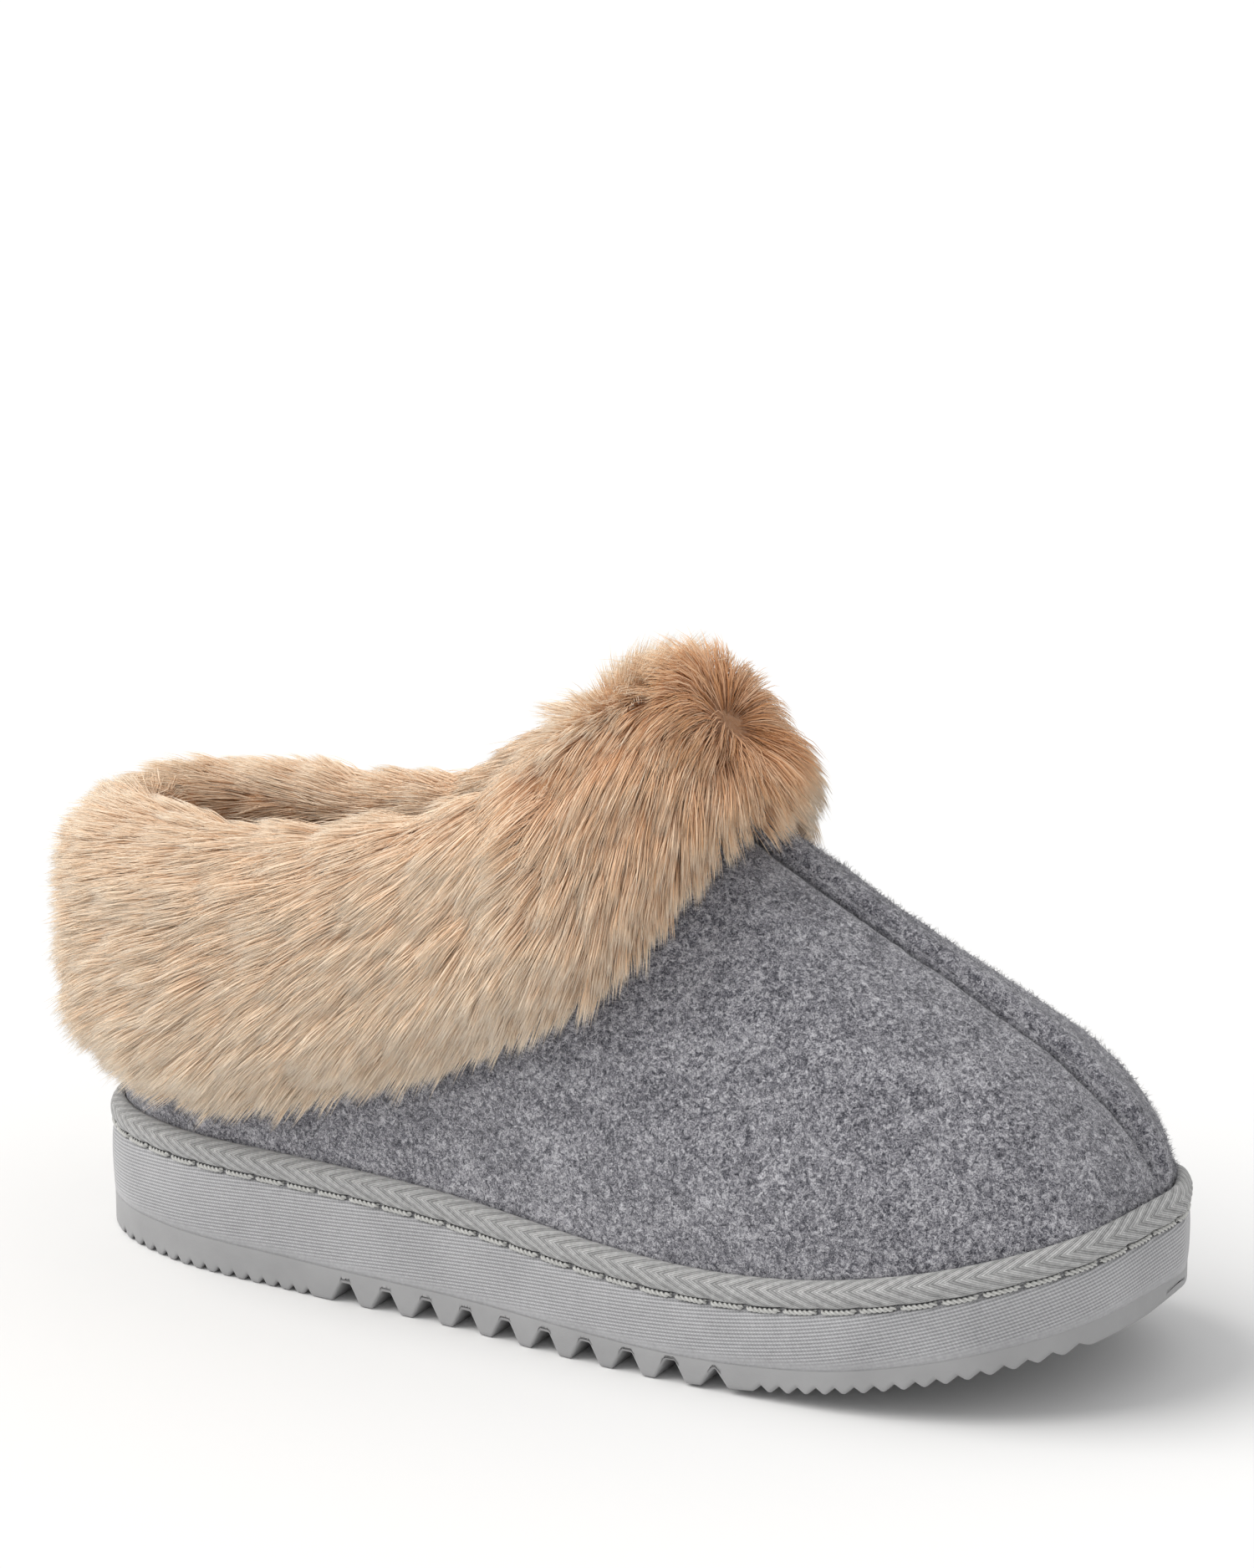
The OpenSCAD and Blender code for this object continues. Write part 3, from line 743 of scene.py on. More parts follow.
# ------------------------------------------------------------------ platform cover and tape
def build_cover():
    """cloth from the outsole up to the stitch line, scaled to that height all the way round"""
    path, inward, s = edge_path(1800)
    low = outsole_z(path[:, 0]) - 0.3
    height = stitch_z(path[:, 0]) - 0.55 - low
    pull = stitch_pull(s, 1.5)
    verts, uv = [], []

    def add_row(inset, share, above=0.0):
        flat = path + inward * np.reshape(inset, (-1, 1))
        up = height * share + above
        verts.append(np.column_stack([flat, low + up]))
        uv.append(np.stack([s, up], -1))

    for t in np.linspace(0, 1, 22):
        bulge = np.sin(math.pi * t)
        inset = -0.03 - 0.40 * bulge ** 0.8 + 0.42 * smooth(0.93, 1.0, t)
        inset = inset + 0.2 * pull * smooth(0.82, 1.0, t)
        add_row(inset + 0.1 * np.sin(s / 13.0 + 3 * t) * bulge, t)
    # the cloth turns in behind the thread, runs up inside the tape and comes back down
    for row in ((0.95, 1.0, -0.1), (1.25, 1.0, 0.35), (1.3, 1.0, 1.9), (1.7, 1.0, 1.9),
                (1.75, 1.0, -0.6), (1.6, 0.5, 0), (1.5, 0.02, 0)):
        add_row(*row)
    grid = np.stack(verts, 1)
    quads = grid_quads(*grid.shape[:2], wrap_rows=True, wrap_cols=True)
    piece = new_mesh("platform_cover_cloth", grid, quads, materials["cover"],
                     uv=np.stack(uv, 1) * 0.001)
    finish_piece(piece, "platform_cover")


# section of the tape: inset from the edge, height above the stitch line
TAPE_OUTSIDE = [(0.35, 0.72), (-0.12, 0.95), (-0.5, 1.9), (-0.62, 3.2), (-0.35, 4.6),
                (0.25, 5.7), (1.1, 6.4), (2.0, 6.62), (2.75, 6.35)]
TAPE_INSIDE = [(2.85, 5.7), (2.7, 4.2), (2.4, 2.4), (1.5, 1.5), (0.9, 0.95)]


def build_binding():
    path, inward, s = edge_path(2000)
    s = s[:, None]
    section = np.concatenate([open_curve(TAPE_OUTSIDE, 34), TAPE_INSIDE])
    over = arc_lengths(section)[None, :]
    inset, height = section[None, :, 0], section[None, :, 1]
    # the thread pulls the lower edge in, and the tape waves a little between
    pull = stitch_pull(s, 1.3) * (1 - smooth(0.7, 3.4, height))
    inset = inset + 0.34 * pull
    height = height + 0.12 * pull
    waver = np.sin(s * 0.9) * np.sin(s * 0.13 + 1)
    inset = inset + 0.07 * waver * (1 - smooth(2.0, 2.7, inset))
    # the bolder slanted ribs of the herringbone stand up a little
    phase = s - TAPE_SLANT * np.abs(over - TAPE_MIDDLE)
    rib = np.sin(2 * math.pi * phase / fitted_period(TAPE_BOLD_RIB))
    inset = inset - 0.09 * rib * smooth(0.5, 1.4, over) * (1 - smooth(8.0, 9.2, over))

    verts = np.stack([path[:, :1] + inward[:, :1] * inset, path[:, 1:] + inward[:, 1:] * inset,
                      stitch_z(path[:, :1]) + height], -1)
    uv = np.stack(np.broadcast_arrays(s, over), -1) * 0.001
    quads = grid_quads(len(path), len(section), wrap_rows=True, wrap_cols=True)
    piece = new_mesh("binding_tape_herringbone", verts, quads, materials["tape"], uv=uv)
    finish_piece(piece, "binding_tape")


def build_stitches():
    """two twisted plies per stitch, dipping into the cloth at both ends"""
    steps, around = 30, 8
    ply_offset, ply_radius, end_radius, twist_length = 0.29, 0.33, 0.1, 2.3
    rng = np.random.default_rng(3)
    edge_s = np.arange(len(edge) + 1) / len(edge) * perimeter
    table = np.column_stack([edge, edge_inward])
    table = np.vstack([table, table[:1]])
    t = np.linspace(0, 1, steps)
    turn = np.linspace(0, 2 * math.pi, around, endpoint=False)[None, :, None]
    radius = np.full(steps, ply_radius)
    radius[0] = radius[-1] = end_radius
    cap = np.array([[0, 1, 2, 3], [0, 3, 4, 7], [4, 5, 6, 7]])
    verts, quads = [], []
    base = 0
    for k in range(stitch_count):
        start = stitch_pitch * k + 0.5 + rng.uniform(-0.1, 0.1)
        end = stitch_pitch * (k + 1) - 0.5 + rng.uniform(-0.1, 0.1)
        s = mix(start, end, t) % perimeter
        inset = 0.16 + 0.75 * (gauss(t, 0.08) + gauss(1 - t, 0.08))
        x, y, in_x, in_y = (np.interp(s, edge_s, column) for column in table.T)
        sway = 0.12 * np.sin(t * math.pi) * rng.uniform(-1, 1)
        centre = np.stack([x + in_x * inset, y + in_y * inset, stitch_z(x) + 0.05 + sway], -1)
        along = unit(np.gradient(centre, axis=0))
        out = np.stack([-in_x, -in_y, 0 * in_x], -1)
        out = unit(out - along * (out * along).sum(1)[:, None])
        up = np.cross(along, out)
        for ply in (0, math.pi):
            twist = (2 * math.pi * t * (end - start) / twist_length + ply + k)[:, None]
            axis = centre + ply_offset * (out * np.cos(twist) + up * np.sin(twist))
            spokes = out[:, None] * np.cos(turn) + up[:, None] * np.sin(turn)
            rings = axis[:, None] + radius[:, None, None] * spokes
            verts.append(rings.reshape(-1, 3))
            quads.append(grid_quads(steps, around, wrap_cols=True, base=base))
            quads.append((cap + base)[:, ::-1])
            quads.append(cap + (steps - 1) * around + base)
            base += steps * around
    piece = new_mesh("platform_stitch_thread", np.concatenate(verts),
                     np.concatenate(quads)[:, ::-1], materials["thread"])
    finish_piece(piece, "platform_stitches")


# ------------------------------------------------------------------ felt upper and lining
def felt_relief(side, grid, degrees):
    """how far the felt stands off its plain shape"""
    from_middle = np.abs(grid[..., 1] - mid_y(grid[..., 0]))
    front = smooth(150, 172, grid[..., 0] / scale_x)
    front = front * (0.3 + 0.7 * smooth(5, 15, grid[..., 2] - stitch_z(grid[..., 0])))
    # hollows and swells beside the front seam: depth, distance from the middle, width
    if side == OUTER:
        seam = [(-1.9, 0, 2.6), (0.35, 6.5, 3.5)]
    else:
        seam = [(-4.2, 0, 1.7), (0.9, 5.2, 3.2), (-0.6, 12, 3.5)]
    relief = sum(depth * gauss(from_middle - place, width) for depth, place, width in seam)
    relief = relief * front
    # a roll just above the tape
    relief += 0.9 * gauss(degrees - 13, 9.0) - 0.5 * gauss(degrees, 3.0)
    # waves, lumps and grain
    relief += 0.45 * wave_noise(grid, 38, seed=5, octaves=2) * smooth(2, 14, degrees)
    relief += 0.13 * wave_noise(grid, 5.5, seed=8, octaves=2) * smooth(1, 8, degrees)
    relief += 0.05 * wave_noise(grid, 1.9, seed=12, octaves=1)
    return relief


def build_upper(side):
    """one half of the felt; returns its outer face, normals and degrees up the section"""
    rows, cols = ((420, 112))
    thickness = 2.0
    plan_x, _, arc = felt_halves[side]
    s = np.linspace(0, span(side), rows)
    x = np.interp(s, arc, plan_x)
    lift = SEAM_LIFT if side == INNER else 0.0
    top = np.where(x > THROAT_X * scale_x, 90.0, rise(x, top_z(x), lift))
    t = np.linspace(0, 1, cols)
    t = mix(t, 1 - (1 - t) ** 1.6, 0.75)  # closer rows towards the top
    degrees = top[:, None] * t[None, :]
    plain = dome(side, s[:, None] + 0 * degrees, degrees, lift)
    normals = grid_normals(plain) * -side
    outside = plain + normals * felt_relief(side, plain, degrees)[..., None]
    inside = plain - normals * thickness
    keep_to_side(side, outside)
    middle = keep_to_side(side, inside)
    outside[:, -1, 1] = np.where(x > 146 * scale_x, middle[:, -1], outside[:, -1, 1])
    name = SIDE_NAME[side]
    piece = new_mesh(f"felt_{name}_half", np.stack([outside, inside]),
                     sheet_quads(rows, cols, flip=side == INNER), materials["felt"])
    finish_piece(piece, f"upper_{name}_side")
    return outside, normals, degrees


def build_lining(side):
    rows, cols = 240, 70
    plan_x, _, arc = felt_halves[side]
    s = np.linspace(0, span(side) - 1.5, rows)
    x = np.interp(s, arc, plan_x)
    top = np.where(x > THROAT_X * scale_x, 90.0, rise(x, top_z(x) - 2.5))
    degrees = top[:, None] * np.linspace(0, 1, cols)[None, :]
    plain = dome(side, s[:, None] + 0 * degrees, degrees, 0.0)
    normals = grid_normals(plain) * -side
    ends = (smooth(0, 6, s) * smooth(0, 6, arc[-1] - s))[:, None]
    relief = 0.5 * wave_noise(plain, 5.0, seed=21, octaves=2)
    relief = (relief + 0.25 * wave_noise(plain, 2.4, seed=22, octaves=1)) * ends
    outside = plain - normals * 3.1
    inside = plain - normals * (5.3 + relief)[..., None]
    keep_to_side(side, outside, gap=0.05)
    keep_to_side(side, inside, gap=0.05)
    name = SIDE_NAME[side]
    piece = new_mesh(f"plush_lining_{name}_half", np.stack([outside, inside]),
                     sheet_quads(rows, cols, flip=side == INNER), materials["plush"])
    finish_piece(piece, f"lining_{name}_side")


def build_fuzz(name, grid, normals, mask, seed):
    """short fibres standing off the masked part of the felt"""
    count, radius = ((14000, 0.038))
    length, lean = 1.0, 1.2
    rng = np.random.default_rng(seed)
    cells = np.cross(np.gradient(grid, axis=0), np.gradient(grid, axis=1))
    area = np.linalg.norm(cells, axis=-1) * mask
    rows, cols = grid.shape[:2]
    chance = np.cumsum(area.ravel()) / area.sum()
    k = np.searchsorted(chance, rng.random(count))
    i, j = k // cols, k % cols
    next_i, next_j = np.minimum(i + 1, rows - 1), np.minimum(j + 1, cols - 1)
    a, b = rng.random(count)[:, None], rng.random(count)[:, None]
    root = (grid[i, j] * (1 - a) * (1 - b) + grid[next_i, j] * a * (1 - b)
            + grid[i, next_j] * (1 - a) * b + grid[next_i, next_j] * a * b)
    normal = normals[i, j]
    way = unit(normal + lean * rng.normal(size=(count, 3)))
    # no fibre points into the felt
    way = unit(way + normal * np.maximum(0, 0.12 - (way * normal).sum(1))[:, None])
    bend = rng.normal(size=(count, 3)) * 0.5
    reach = length * (0.5 + rng.random(count))[:, None]
    paths = np.stack([root - normal * 0.15, root + way * reach * 0.35,
                      root + (way + 0.25 * bend) * reach * 0.7,
                      root + (way + 0.6 * bend) * reach], 1)
    radii = np.array([[1.0, 0.8]]) * radius * (0.7 + 0.6 * rng.random(count))[:, None]
    tone = np.clip(0.5 + 0.3 * rng.normal(size=count), 0.02, 0.98)
    piece = strands_mesh(name, paths, radii, tone, materials["fuzz"], seed)
    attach(piece, "root")


# ------------------------------------------------------------------ footbed
def build_bed_layer(name, node, material, inset, lift, thickness, crown, relief):
    """a padded layer that fills the bottom of the shoe, closing ring by ring on its spine"""
    rings, count = 34, 420
    path, inward, _ = edge_path(count)
    outer = path + inward * inset
    spine = np.stack([np.clip(outer[:, 0], 34, LENGTH - 34), mid_y(outer[:, 0]) * 0.8], -1)
    top, bottom = [], []
    for t in np.arange(rings) / (rings - 1):
        flat = mix(outer, spine, t * 0.985)
        under = bed_z(flat[:, 0]) + lift
        rounding = smooth(0, 0.16, t)
        z = under + thickness * (0.35 + 0.65 * np.sqrt(rounding))
        z = z + crown * (1 - t) ** 2 * rounding - crown * 0.35 * t
        ring = np.column_stack([flat, z])
        ring[:, 2] += relief * wave_noise(ring, 6.0, seed=31, octaves=2) * rounding
        top.append(ring)
        bottom.append(np.column_stack([flat, under]))
    size = rings * count
    j = np.arange(count)
    after = (j + 1) % count
    rim = np.stack([j, after, size + after, size + j], 1)[:, ::-1]
    # the last ring is almost a line along the spine: it is bridged to itself across
    last, half = (rings - 1) * count, count // 2
    k = np.arange(2, half)
    strip = np.stack([k - 1, k, count - k, count - k + 1], 1) + last
    ends = np.array([[0, 1, count - 1], [half - 1, half, half + 1]]) + last
    quads = np.concatenate([
        grid_quads(rings, count, wrap_cols=True),
        grid_quads(rings, count, wrap_cols=True, base=size, flip=True),
        rim, strip, strip[:, ::-1] + size,
    ])
    piece = new_mesh(name, np.array(top + bottom), quads, material,
                     tris=np.concatenate([ends, ends[:, ::-1] + size]))
    finish_piece(piece, node)


# ------------------------------------------------------------------ cuff
CUFF_AROUND = 720
CUFF_DOWN = 61
# u goes round the opening from the heel, by the outer side to the throat at 0.5 and back
cuff_u = np.arange(CUFF_AROUND) / CUFF_AROUND
# share of the way down the wall: rim 0, lower edge 1
cuff_down = np.linspace(-0.02, 1.12, CUFF_DOWN)


def from_heel(u):
    return np.minimum(u, 1 - u)


def row_curve(values, odd, u):
    """smooth curve through one side's row values, mirrored past the heel and the throat"""
    ahead = values[3:0:-1]
    y = np.concatenate([-ahead if odd else ahead, values, values[-2:-5:-1]])
    slope = np.gradient(y)
    t = u * 2 * (len(values) - 1)
    i = np.clip(np.floor(t).astype(int), 0, len(values) - 2)
    k = i + 3
    return hermite(y[k], y[k + 1], slope[k], slope[k + 1], t - i)


def wall_grid():
    """the outside of the felt under the cuff, on cuff_u by cuff_down"""
    grid = np.zeros((CUFF_AROUND, CUFF_DOWN, 3))
    for side in (OUTER, INNER):
        chosen = (cuff_u <= 0.5) if side == OUTER else (cuff_u > 0.5)
        u = from_heel(cuff_u[chosen])
        plan_x, _, arc = felt_halves[side]
        rim_s, edge_s = (row_curve(np.interp(x, plan_x, arc), True, u)
                         for x in (cuff_rim_x, cuff_edge_x))
        rim_x = np.interp(rim_s, arc, plan_x)
        rim_rise = np.where(u > 0.499, 90.0, rise(rim_x, top_z(rim_x), SEAM_LIFT))
        edge_x = np.interp(edge_s, arc, plan_x)
        edge_rise = rise(edge_x, row_curve(cuff_edge_z, False, u), SEAM_LIFT)
        edge_rise = mix(edge_rise, 90.0, smooth(0.46, 0.5, u))
        for k, down in enumerate(cuff_down):
            degrees = np.clip(mix(rim_rise, edge_rise, down), 0, 90)
            grid[chosen, k] = dome(side, mix(rim_s, edge_s, down), degrees, SEAM_LIFT)
    # round off the joins at heel and throat
    return blur_round(grid, 10)


def normals_off_foot(grid, cols=None):
    """normals turned away from the foot, judged on the first columns"""
    normals = grid_normals(grid, wrap=True)
    away = ((grid - FOOT_CENTRE) * normals)[:, :cols].sum(-1).mean()
    return -normals if away < 0 else normals


def rim_swell(rim_x):
    """extra height of the fold over the rim, plumper in the dip before the throat"""
    inner, outer = cuff_u > 0.5, cuff_u < 0.5
    swell = np.where(inner, 8.8 * gauss(rim_x - 112, 22), 0.0)
    swell = np.maximum(swell, 0.4 * gauss(rim_x - 136, 7.5)) - 1.6 * gauss(rim_x, 22)
    hollow = 2.4 * smooth(84, 104, rim_x) * (1 - smooth(122, 132, rim_x))
    return blur_round(swell - np.where(outer, hollow, 0.0), 30)


def build_cuff():
    """the cuff's cloth and dense underfur; returns the skin, its normals and underfur depth"""
    wall = wall_grid()
    wall_normals = normals_off_foot(wall)
    rows = np.arange(CUFF_AROUND)

    def at(down):
        k = np.interp(down * np.ones(CUFF_AROUND), cuff_down, np.arange(CUFF_DOWN))
        i = np.clip(np.floor(k).astype(int), 0, CUFF_DOWN - 2)
        t = (k - i)[:, None]
        return (mix(wall[rows, i], wall[rows, i + 1], t),
                unit(mix(wall_normals[rows, i], wall_normals[rows, i + 1], t)))

    rim, rim_normal = at(0.0)
    swell = rim_swell(rim[:, 0] / scale_x)
    upward = unit(unit(rim - at(0.07)[0]) + np.array([0, 0, 0.8]))

    def section(outside, inside, rim_height, low, inner_low, counts):
        """up the outside, over the rim and down the inside, at distances off the wall"""
        out_count, rim_count, in_count = counts
        points = []
        for t in np.linspace(1, 0, out_count):
            point, normal = at(low * t)
            points.append(point + normal * outside)
        centre = rim + rim_normal * (outside + inside) / 2
        half = (outside - inside) / 2
        for angle in np.linspace(0, math.pi, rim_count + 2)[1:-1]:
            points.append(centre + rim_normal * half * math.cos(angle)
                          + upward * (rim_height + swell)[:, None] * math.sin(angle))
        for down in np.linspace(0.0, inner_low, in_count):
            point, normal = at(down)
            points.append(point + normal * inside)
        return np.stack(points, 1)

    low = 0.955 - 0.30 * gauss(cuff_u - 0.5, 0.056) - 0.065 * gauss(from_heel(cuff_u), 0.13)
    skin = section(outside=2.6, inside=-6.6, rim_height=4.0, low=low, inner_low=0.5,
                   counts=(44, 16, 20))
    normals = normals_off_foot(skin, 30)
    v = np.linspace(0, 1, skin.shape[1])[None, :]
    # the underfur is thin at the lower edge and inside, thicker at the front
    front = gauss(cuff_u[:, None] - 0.47, 0.085)
    depth = 6.2 * smooth(-0.02, 0.14, v) * (1 - 0.72 * smooth(0.48, 0.62, v))
    depth = depth * (1 + 0.5 * front)
    tufts = 0.7 * wave_noise(skin, 9, seed=41, octaves=2) * smooth(0.02, 0.15, v)
    coat = blur_round(skin + normals * (depth + tufts)[..., None], 2)
    back = section(outside=1.15, inside=-5.75, rim_height=2.6, low=low - 0.015,
                   inner_low=0.49, counts=(20, 8, 10))[:, ::-1]
    verts = np.concatenate([coat, back], 1)
    quads = grid_quads(*verts.shape[:2], wrap_rows=True, wrap_cols=True)
    piece = new_mesh("cuff_underfur", verts, quads, materials["ground"])
    finish_piece(piece, "cuff_backing")
    return skin, normals, depth


# ------------------------------------------------------------------ fur
def sample_grid(grid, i, j):
    """bilinear lookup, wrapping round the rows"""
    rows, cols = grid.shape[:2]
    low_i = np.floor(i).astype(int)
    low_j = np.clip(np.floor(j).astype(int), 0, cols - 2)
    a = (i - low_i)[:, None]
    b = (j - low_j)[:, None]
    low_i %= rows
    next_i = (low_i + 1) % rows
    if grid.ndim == 2:
        grid = grid[..., None]
    return (grid[low_i, low_j] * (1 - a) * (1 - b) + grid[next_i, low_j] * a * (1 - b)
            + grid[low_i, low_j + 1] * (1 - a) * b + grid[next_i, low_j + 1] * a * b)


class Pelt:
    """the skin the pile grows from; places on it are grid rows i and columns j

    v runs from the lower edge 0, over the rim, to the end inside the shoe 1.
    """

    def __init__(self, skin, normals, depth):
        self.skin, self.normals, self.depth = skin, normals, depth
        self.rows, self.cols = skin.shape[:2]
        around = np.roll(skin, -1, 0) - np.roll(skin, 1, 0)
        over = np.gradient(skin, axis=1)
        self.around, self.over = unit(around), unit(over)
        v = np.linspace(0, 1, self.cols)
        # sparse inside the shoe, dense at the lower edge
        density = (1.0 - 0.72 * smooth(0.66, 0.8, v)) * (1 + 0.5 * gauss(v - 0.03, 0.05))
        weight = (np.linalg.norm(np.cross(around, over), axis=-1) * density[None, :]).ravel()
        self.chance = np.cumsum(weight) / weight.sum()

    def pick(self, count, rng):
        k = np.searchsorted(self.chance, rng.random(count))
        i = (k // self.cols) + rng.random(count) - 0.5
        return i, np.clip((k % self.cols) + rng.random(count) - 0.5, 0, self.cols - 1.001)

    def comb(self, i, j):
        """root point, normal, combed direction, u, v and distance from the parting"""
        point = sample_grid(self.skin, i, j)
        normal = unit(sample_grid(self.normals, i, j))
        around = unit(sample_grid(self.around, i, j))
        over = unit(sample_grid(self.over, i, j))
        u = (i / self.rows) % 1.0
        v = j / (self.cols - 1)
        outer = u <= 0.5
        inside = smooth(0.70, 0.80, v)
        angle = 12 + 22 * (1 - smooth(0.0, 0.5, v))
        # towards the throat the pile turns straight down the front
        beside = smooth(0.33, 0.47, u) * outer + smooth(0.67, 0.53, u) * (u > 0.5)
        turned = np.clip(gauss(u - 0.5, 0.03) + 0.45 * beside, 0, 1)
        angle = np.radians(mix(angle + (74 - angle) * turned, -24.0, inside))
        # both sides are combed back to the heel and meet there and at the throat
        way = np.where(outer, -np.tanh(u / 0.02) * np.tanh((0.5 - u) / 0.012),
                       np.tanh((1 - u) / 0.02) * np.tanh((u - 0.5) / 0.012))
        lay = (np.cos(angle) * way)[:, None] * around - np.sin(angle)[:, None] * over
        lay = lay - (0.25 * (1 - np.abs(way)) * (1 - 2 * inside))[:, None] * over
        # on the crown the pile fans out from one point
        off = point + normal * 11.0 - CROWN
        fan = off - normal * (off * normal).sum(1)[:, None]
        parting = np.linalg.norm(off, axis=1)
        share = gauss(parting, 34.0)[:, None]
        lay = unit(lay) * (1 - share) + unit(fan) * share * 1.2
        lay = lay - normal * (lay * normal).sum(1)[:, None]
        return point, normal, unit(lay), u, v, parting

    def grow(self, i, j, rng, swerve, length_factor, lift_factor):
        """strand paths, with u, v and distance from the parting"""
        point, normal, lay, u, v, parting = self.comb(i, j)
        lay = unit(lay + np.cross(normal, lay) * np.tan(swerve[:, None]))
        lay = lay + rng.normal(size=lay.shape) * gauss(parting, 9.0)[:, None] * 0.9
        lay = unit(lay - normal * (lay * normal).sum(1)[:, None])
        # regions of the cuff, each 1 at its middle
        heel = gauss(from_heel(u), 0.05)
        heel_low = gauss(from_heel(u), 0.14) * (1 - smooth(0.05, 0.3, v))
        front = gauss(u - 0.47, 0.085)
        crest = gauss(v - 0.655, 0.10)
        inside = smooth(0.70, 0.82, v)
        low_edge = 1 - smooth(0.0, 0.16, v)
        cap = gauss(v - 0.65, 0.14) * gauss(parting, 26.0)
        spot = gauss(parting, 8.0)
        # strand length in mm
        length = (20.0 - 9.0 * inside - 3.5 * crest - 4.0 * low_edge - 1.4 * front
                  - 6.5 * cap - 4.0 * heel * crest - 5.0 * spot - 2.0 * heel_low)
        length = length * length_factor
        # degrees off the skin at root and tip
        root_lift = (30 + 3 * crest - 5 * inside + 8 * front - 9 * front * crest
                     - 10 * low_edge - 10 * heel * crest + 6 * spot)
        tip_lift = 3 + 3 * crest + 4 * front - 5 * front * crest - 3 * inside
        root_lift = np.radians(root_lift) * lift_factor
        tip_lift = np.radians(tip_lift) * lift_factor
        droop = 0.10 + 0.55 * front * (1 - inside) * (1 - crest) + 0.45 * cap

        t = np.linspace(0, 1, STRAND_POINTS)
        paths = np.zeros((len(point), STRAND_POINTS, 3))
        paths[:, 0] = point + normal * (sample_grid(self.depth, i, j)[:, 0] - 1.2)[:, None]
        for k in range(1, STRAND_POINTS):
            middle = (t[k] + t[k - 1]) / 2
            lift = mix(root_lift, tip_lift, middle ** 0.8)[:, None]
            step = lay * np.cos(lift) + normal * np.sin(lift)
            step[:, 2] -= droop * middle
            paths[:, k] = paths[:, k - 1] + unit(step) * (length / (STRAND_POINTS - 1))[:, None]
        return paths, u, v, parting


STRAND_POINTS = 5
STRANDS = 146000
LOCKS = 1500      # large tufts
BUNDLES = 10500   # fine bundles inside the tufts
STRANDS_PER_MESH = 10400


def nearest(points, roots):
    tree = kdtree.KDTree(len(roots))
    for k, root in enumerate(roots):
        tree.insert(root, k)
    tree.balance()
    return np.array([tree.find(point)[1] for point in points])


def build_fur(skin, normals, depth):
    pelt = Pelt(skin, normals, depth)
    rng = np.random.default_rng(11)

    def spread(count):
        return np.clip(rng.normal(size=count), -1.5, 1.5)

    lock_i, lock_j = pelt.pick(LOCKS, rng)
    lock_swerve = 0.08 * spread(LOCKS)
    lock_length = 1 + 0.07 * spread(LOCKS)
    lock_lift = 1 + 0.10 * spread(LOCKS)
    lock_tone = rng.normal(0, 1, LOCKS)
    bundle_i, bundle_j = pelt.pick(BUNDLES, rng)
    i, j = pelt.pick(STRANDS, rng)
    bundle_roots = sample_grid(skin, bundle_i, bundle_j)
    lock_of = nearest(bundle_roots, sample_grid(skin, lock_i, lock_j))
    bundle_of = nearest(sample_grid(skin, i, j), bundle_roots)

    # bundles lean to their locks, and strands to their bundles, more towards the tip
    t = np.linspace(0, 1, STRAND_POINTS)[None, :]
    locks, *_ = pelt.grow(lock_i, lock_j, rng, lock_swerve, lock_length, lock_lift)
    swerve = lock_swerve[lock_of] + 0.08 * spread(BUNDLES)
    length = lock_length[lock_of] * (1 + 0.07 * spread(BUNDLES))
    lift = lock_lift[lock_of] * (1 + rng.normal(0, 0.10, BUNDLES))
    bundles, *_ = pelt.grow(bundle_i, bundle_j, rng, swerve, length, lift)
    bundles = bundles + (locks[lock_of] - bundles) * (0.20 * t ** 1.3)[..., None]
    swerve = swerve[bundle_of] + rng.normal(0, 0.085, STRANDS)
    length = length[bundle_of] * (1 + rng.normal(0, 0.10, STRANDS))
    lift = lift[bundle_of] * (1 + rng.normal(0, 0.12, STRANDS))
    paths, u, v, parting = pelt.grow(i, j, rng, swerve, length, lift)
    pull = (0.32 + 0.38 * rng.random(STRANDS))[:, None] * t ** 1.25
    paths = paths + (bundles[bundle_of] - paths) * pull[..., None]

    # a little wave in each strand
    phase = rng.uniform(0, 6.28, STRANDS)[:, None]
    sideways = unit(rng.normal(size=(STRANDS, 3)))
    paths = paths + sideways[:, None] * (0.22 * np.sin(t * 5.0 + phase) * t)[..., None]
    radii = np.array([[0.088, 0.094, 0.066]]) * (0.8 + 0.5 * rng.random(STRANDS))[:, None]

    bundle_tone = rng.normal(0, 1, BUNDLES)
    tone = 0.93 + 0.05 * lock_tone[lock_of[bundle_of]] + 0.10 * bundle_tone[bundle_of]
    tone += 0.16 * rng.normal(size=STRANDS)
    # painted light: lighter at the heel, the side the light comes from; darker round the parting,
    # the roots' own deeper colour with painted shade in the parting; darker down the front
    tone += 0.12 * smooth(0.16, 0.0, u)
    tone -= 0.46 * gauss(parting, 20.0) + 0.40 * gauss(parting, 11.0)
    tone -= 0.40 * gauss(u - 0.46, 0.055) * (v < 0.6)
    # lighter towards the lower edge; inside the shoe painted light makes the pile lighter against
    # the shade that falls there
    tone += 0.10 * (1 - smooth(0.1, 0.4, v)) + 0.12 * (1 - smooth(0.0, 0.12, v))
    tone += 0.12 * smooth(0.72, 0.85, v)
    # round the parting each strand keeps its darker root colours: the roots' own colour, deepened
    # as painted shade in the parting
    reach = 1 - 0.74 * gauss(parting, 12.0)

    order = np.lexsort((i, (v > 0.66).astype(int)))
    chunks = np.array_split(order, math.ceil(STRANDS / STRANDS_PER_MESH))
    for k, ids in enumerate(chunks):
        piece = strands_mesh(f"fur_pile_{k + 1:02d}", paths[ids], radii[ids], tone[ids],
                             materials["fur"], seed=100 + k, reach=reach[ids])
        finish_piece(piece, "fur_cuff")


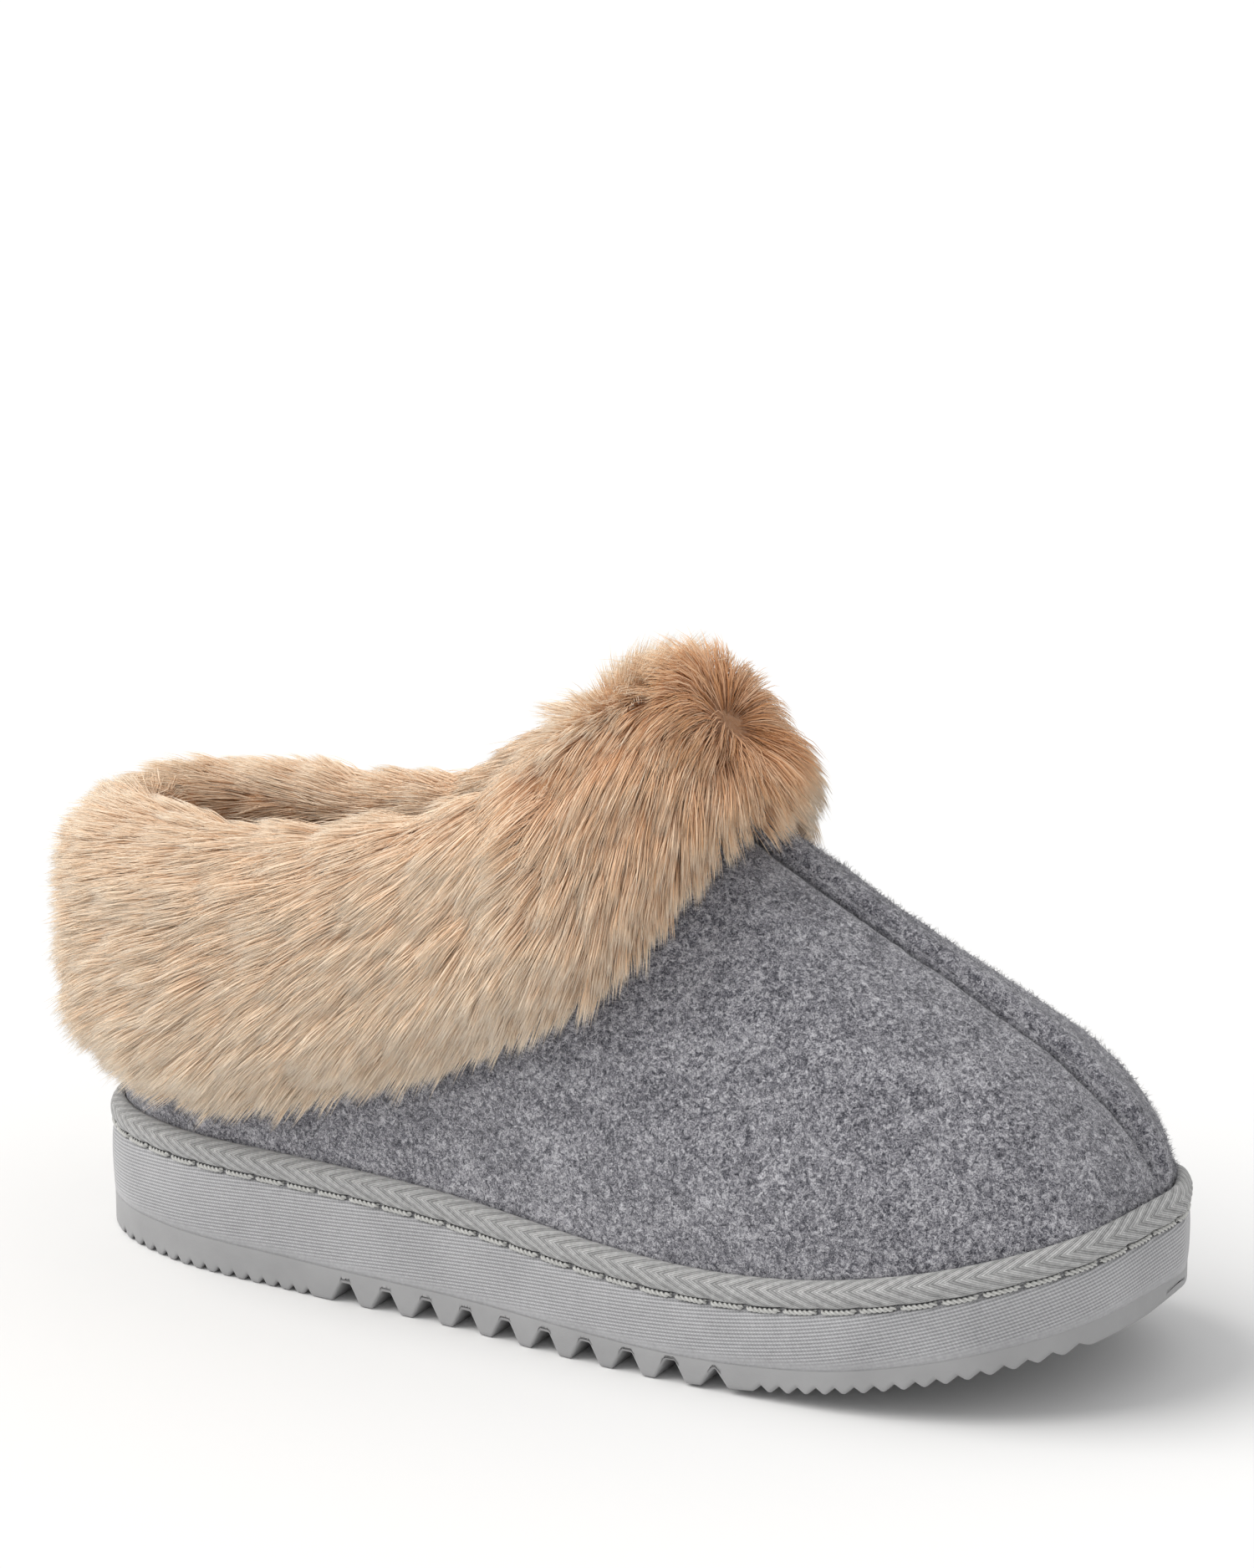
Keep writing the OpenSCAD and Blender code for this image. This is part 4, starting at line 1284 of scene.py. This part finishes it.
# ------------------------------------------------------------------ build
build_outsole()
build_cover()
build_binding()
build_stitches()
felt = {side: build_upper(side) for side in (OUTER, INNER)}
for side in (OUTER, INNER):
    build_lining(side)
bed_foam = fabric_material("bed_foam", (226, 220, 200), scale=900, contrast=0.08,
                           relief=0.0004, sheen=0.1)
build_bed_layer("footbed_pad", "footbed_foam", bed_foam, inset=8.4, lift=0.0,
                thickness=FOAM_THICK, crown=0.0, relief=0.05)
build_bed_layer("plush_sock", "sock_liner", materials["plush"], inset=8.2,
                lift=FOAM_THICK + 0.1, thickness=SOCK_THICK, crown=1.6, relief=0.35)
build_fur(*build_cuff())
for side, (outside, normals, degrees) in felt.items():
    # the fuzz stops a little way up under the cuff
    fuzz_top = np.interp(outside[..., 0], cuff_edge_x, cuff_edge_z) + 14
    mask = ((outside[..., 2] < fuzz_top) & (degrees > 4)).astype(float)
    for part in (0, 1):
        build_fuzz(f"felt_fuzz_{SIDE_NAME[side]}_{part + 1}", outside, normals, mask,
                   seed=51 + side + 10 * part)

# CAD nodes that stay as they are get their own finishes
node_materials = {
    "midsole": rubber_material("platform_foam", (220, 220, 216), contrast=0.02, rough=0.8),
    "insole_board": fabric_material("insole_board", (158, 128, 92), scale=700, contrast=0.1,
                                    relief=0.0002, sheen=0.0),
    "front_seam_tape": fabric_material("seam_tape", (128, 128, 134), scale=1800,
                                       contrast=0.12, relief=0.0002, sheen=0.1),
    "toe_puff": rubber_material("stiffener", (204, 198, 184), contrast=0.03, rough=0.7),
}
node_materials["back_seam_tape"] = node_materials["front_seam_tape"]
node_materials["heel_counter"] = node_materials["toe_puff"]
for name, material in node_materials.items():
    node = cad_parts[name]
    node.data.materials.clear()
    node.data.materials.append(material)


# ------------------------------------------------------------------ stage, light, camera
def build_floor():
    bpy.ops.mesh.primitive_plane_add(size=30, location=(0, 0, 0))
    floor = bpy.context.object
    floor.name = "floor"
    paper = Material("floor").finish(color=(0.81, 0.81, 0.81, 1), rough=0.9, specular=0.0)
    floor.data.materials.append(paper)


def build_world(scene):
    """white surroundings, brighter to the camera than as a light"""
    light_strength, seen_strength = 0.76, 0.985
    world = bpy.data.worlds.new("studio")
    scene.world = world
    world.use_nodes = True
    tree = world.node_tree
    background = tree.nodes["Background"]
    background.inputs["Color"].default_value = (1.0, 1.0, 1.0, 1)
    ray = tree.nodes.new("ShaderNodeLightPath")
    level = tree.nodes.new("ShaderNodeMapRange")
    level.inputs["To Min"].default_value = light_strength
    level.inputs["To Max"].default_value = seen_strength
    tree.links.new(ray.outputs["Is Camera Ray"], level.inputs[0])
    tree.links.new(level.outputs[0], background.inputs["Strength"])


def build_sun(scene):
    towards_sun = Vector((-1.25, -0.66, 1.55))
    sun = bpy.data.lights.new("key", "SUN")
    sun.energy = 2.27
    sun.angle = 0.95
    sun.color = (1.0, 0.985, 0.96)
    sun_object = bpy.data.objects.new("key", sun)
    scene.collection.objects.link(sun_object)
    sun_object.rotation_euler = towards_sun.to_track_quat("Z", "Y").to_euler()


def build_camera(scene):
    """looks at the outer side, from a little towards the toe and above"""
    azimuth, elevation = math.radians(28.38), math.radians(13.94)
    distance = 1.029
    target = Vector((0.055, 0, 0.1174))
    back = Vector((math.sin(azimuth) * math.cos(elevation),
                   -math.cos(azimuth) * math.cos(elevation), math.sin(elevation)))
    camera = bpy.data.cameras.new("camera")
    camera.sensor_fit = "VERTICAL"
    camera.sensor_height = 36
    camera.sensor_width = 36
    camera.lens = 106.56
    camera.clip_end = 100
    camera_object = bpy.data.objects.new("camera", camera)
    scene.collection.objects.link(camera_object)
    camera_object.location = target + back * distance
    camera_object.rotation_euler = (-back).to_track_quat("-Z", "Y").to_euler()
    scene.camera = camera_object


scene = bpy.context.scene
build_floor()
build_world(scene)
build_sun(scene)
build_camera(scene)
scene.view_settings.view_transform = "Standard"
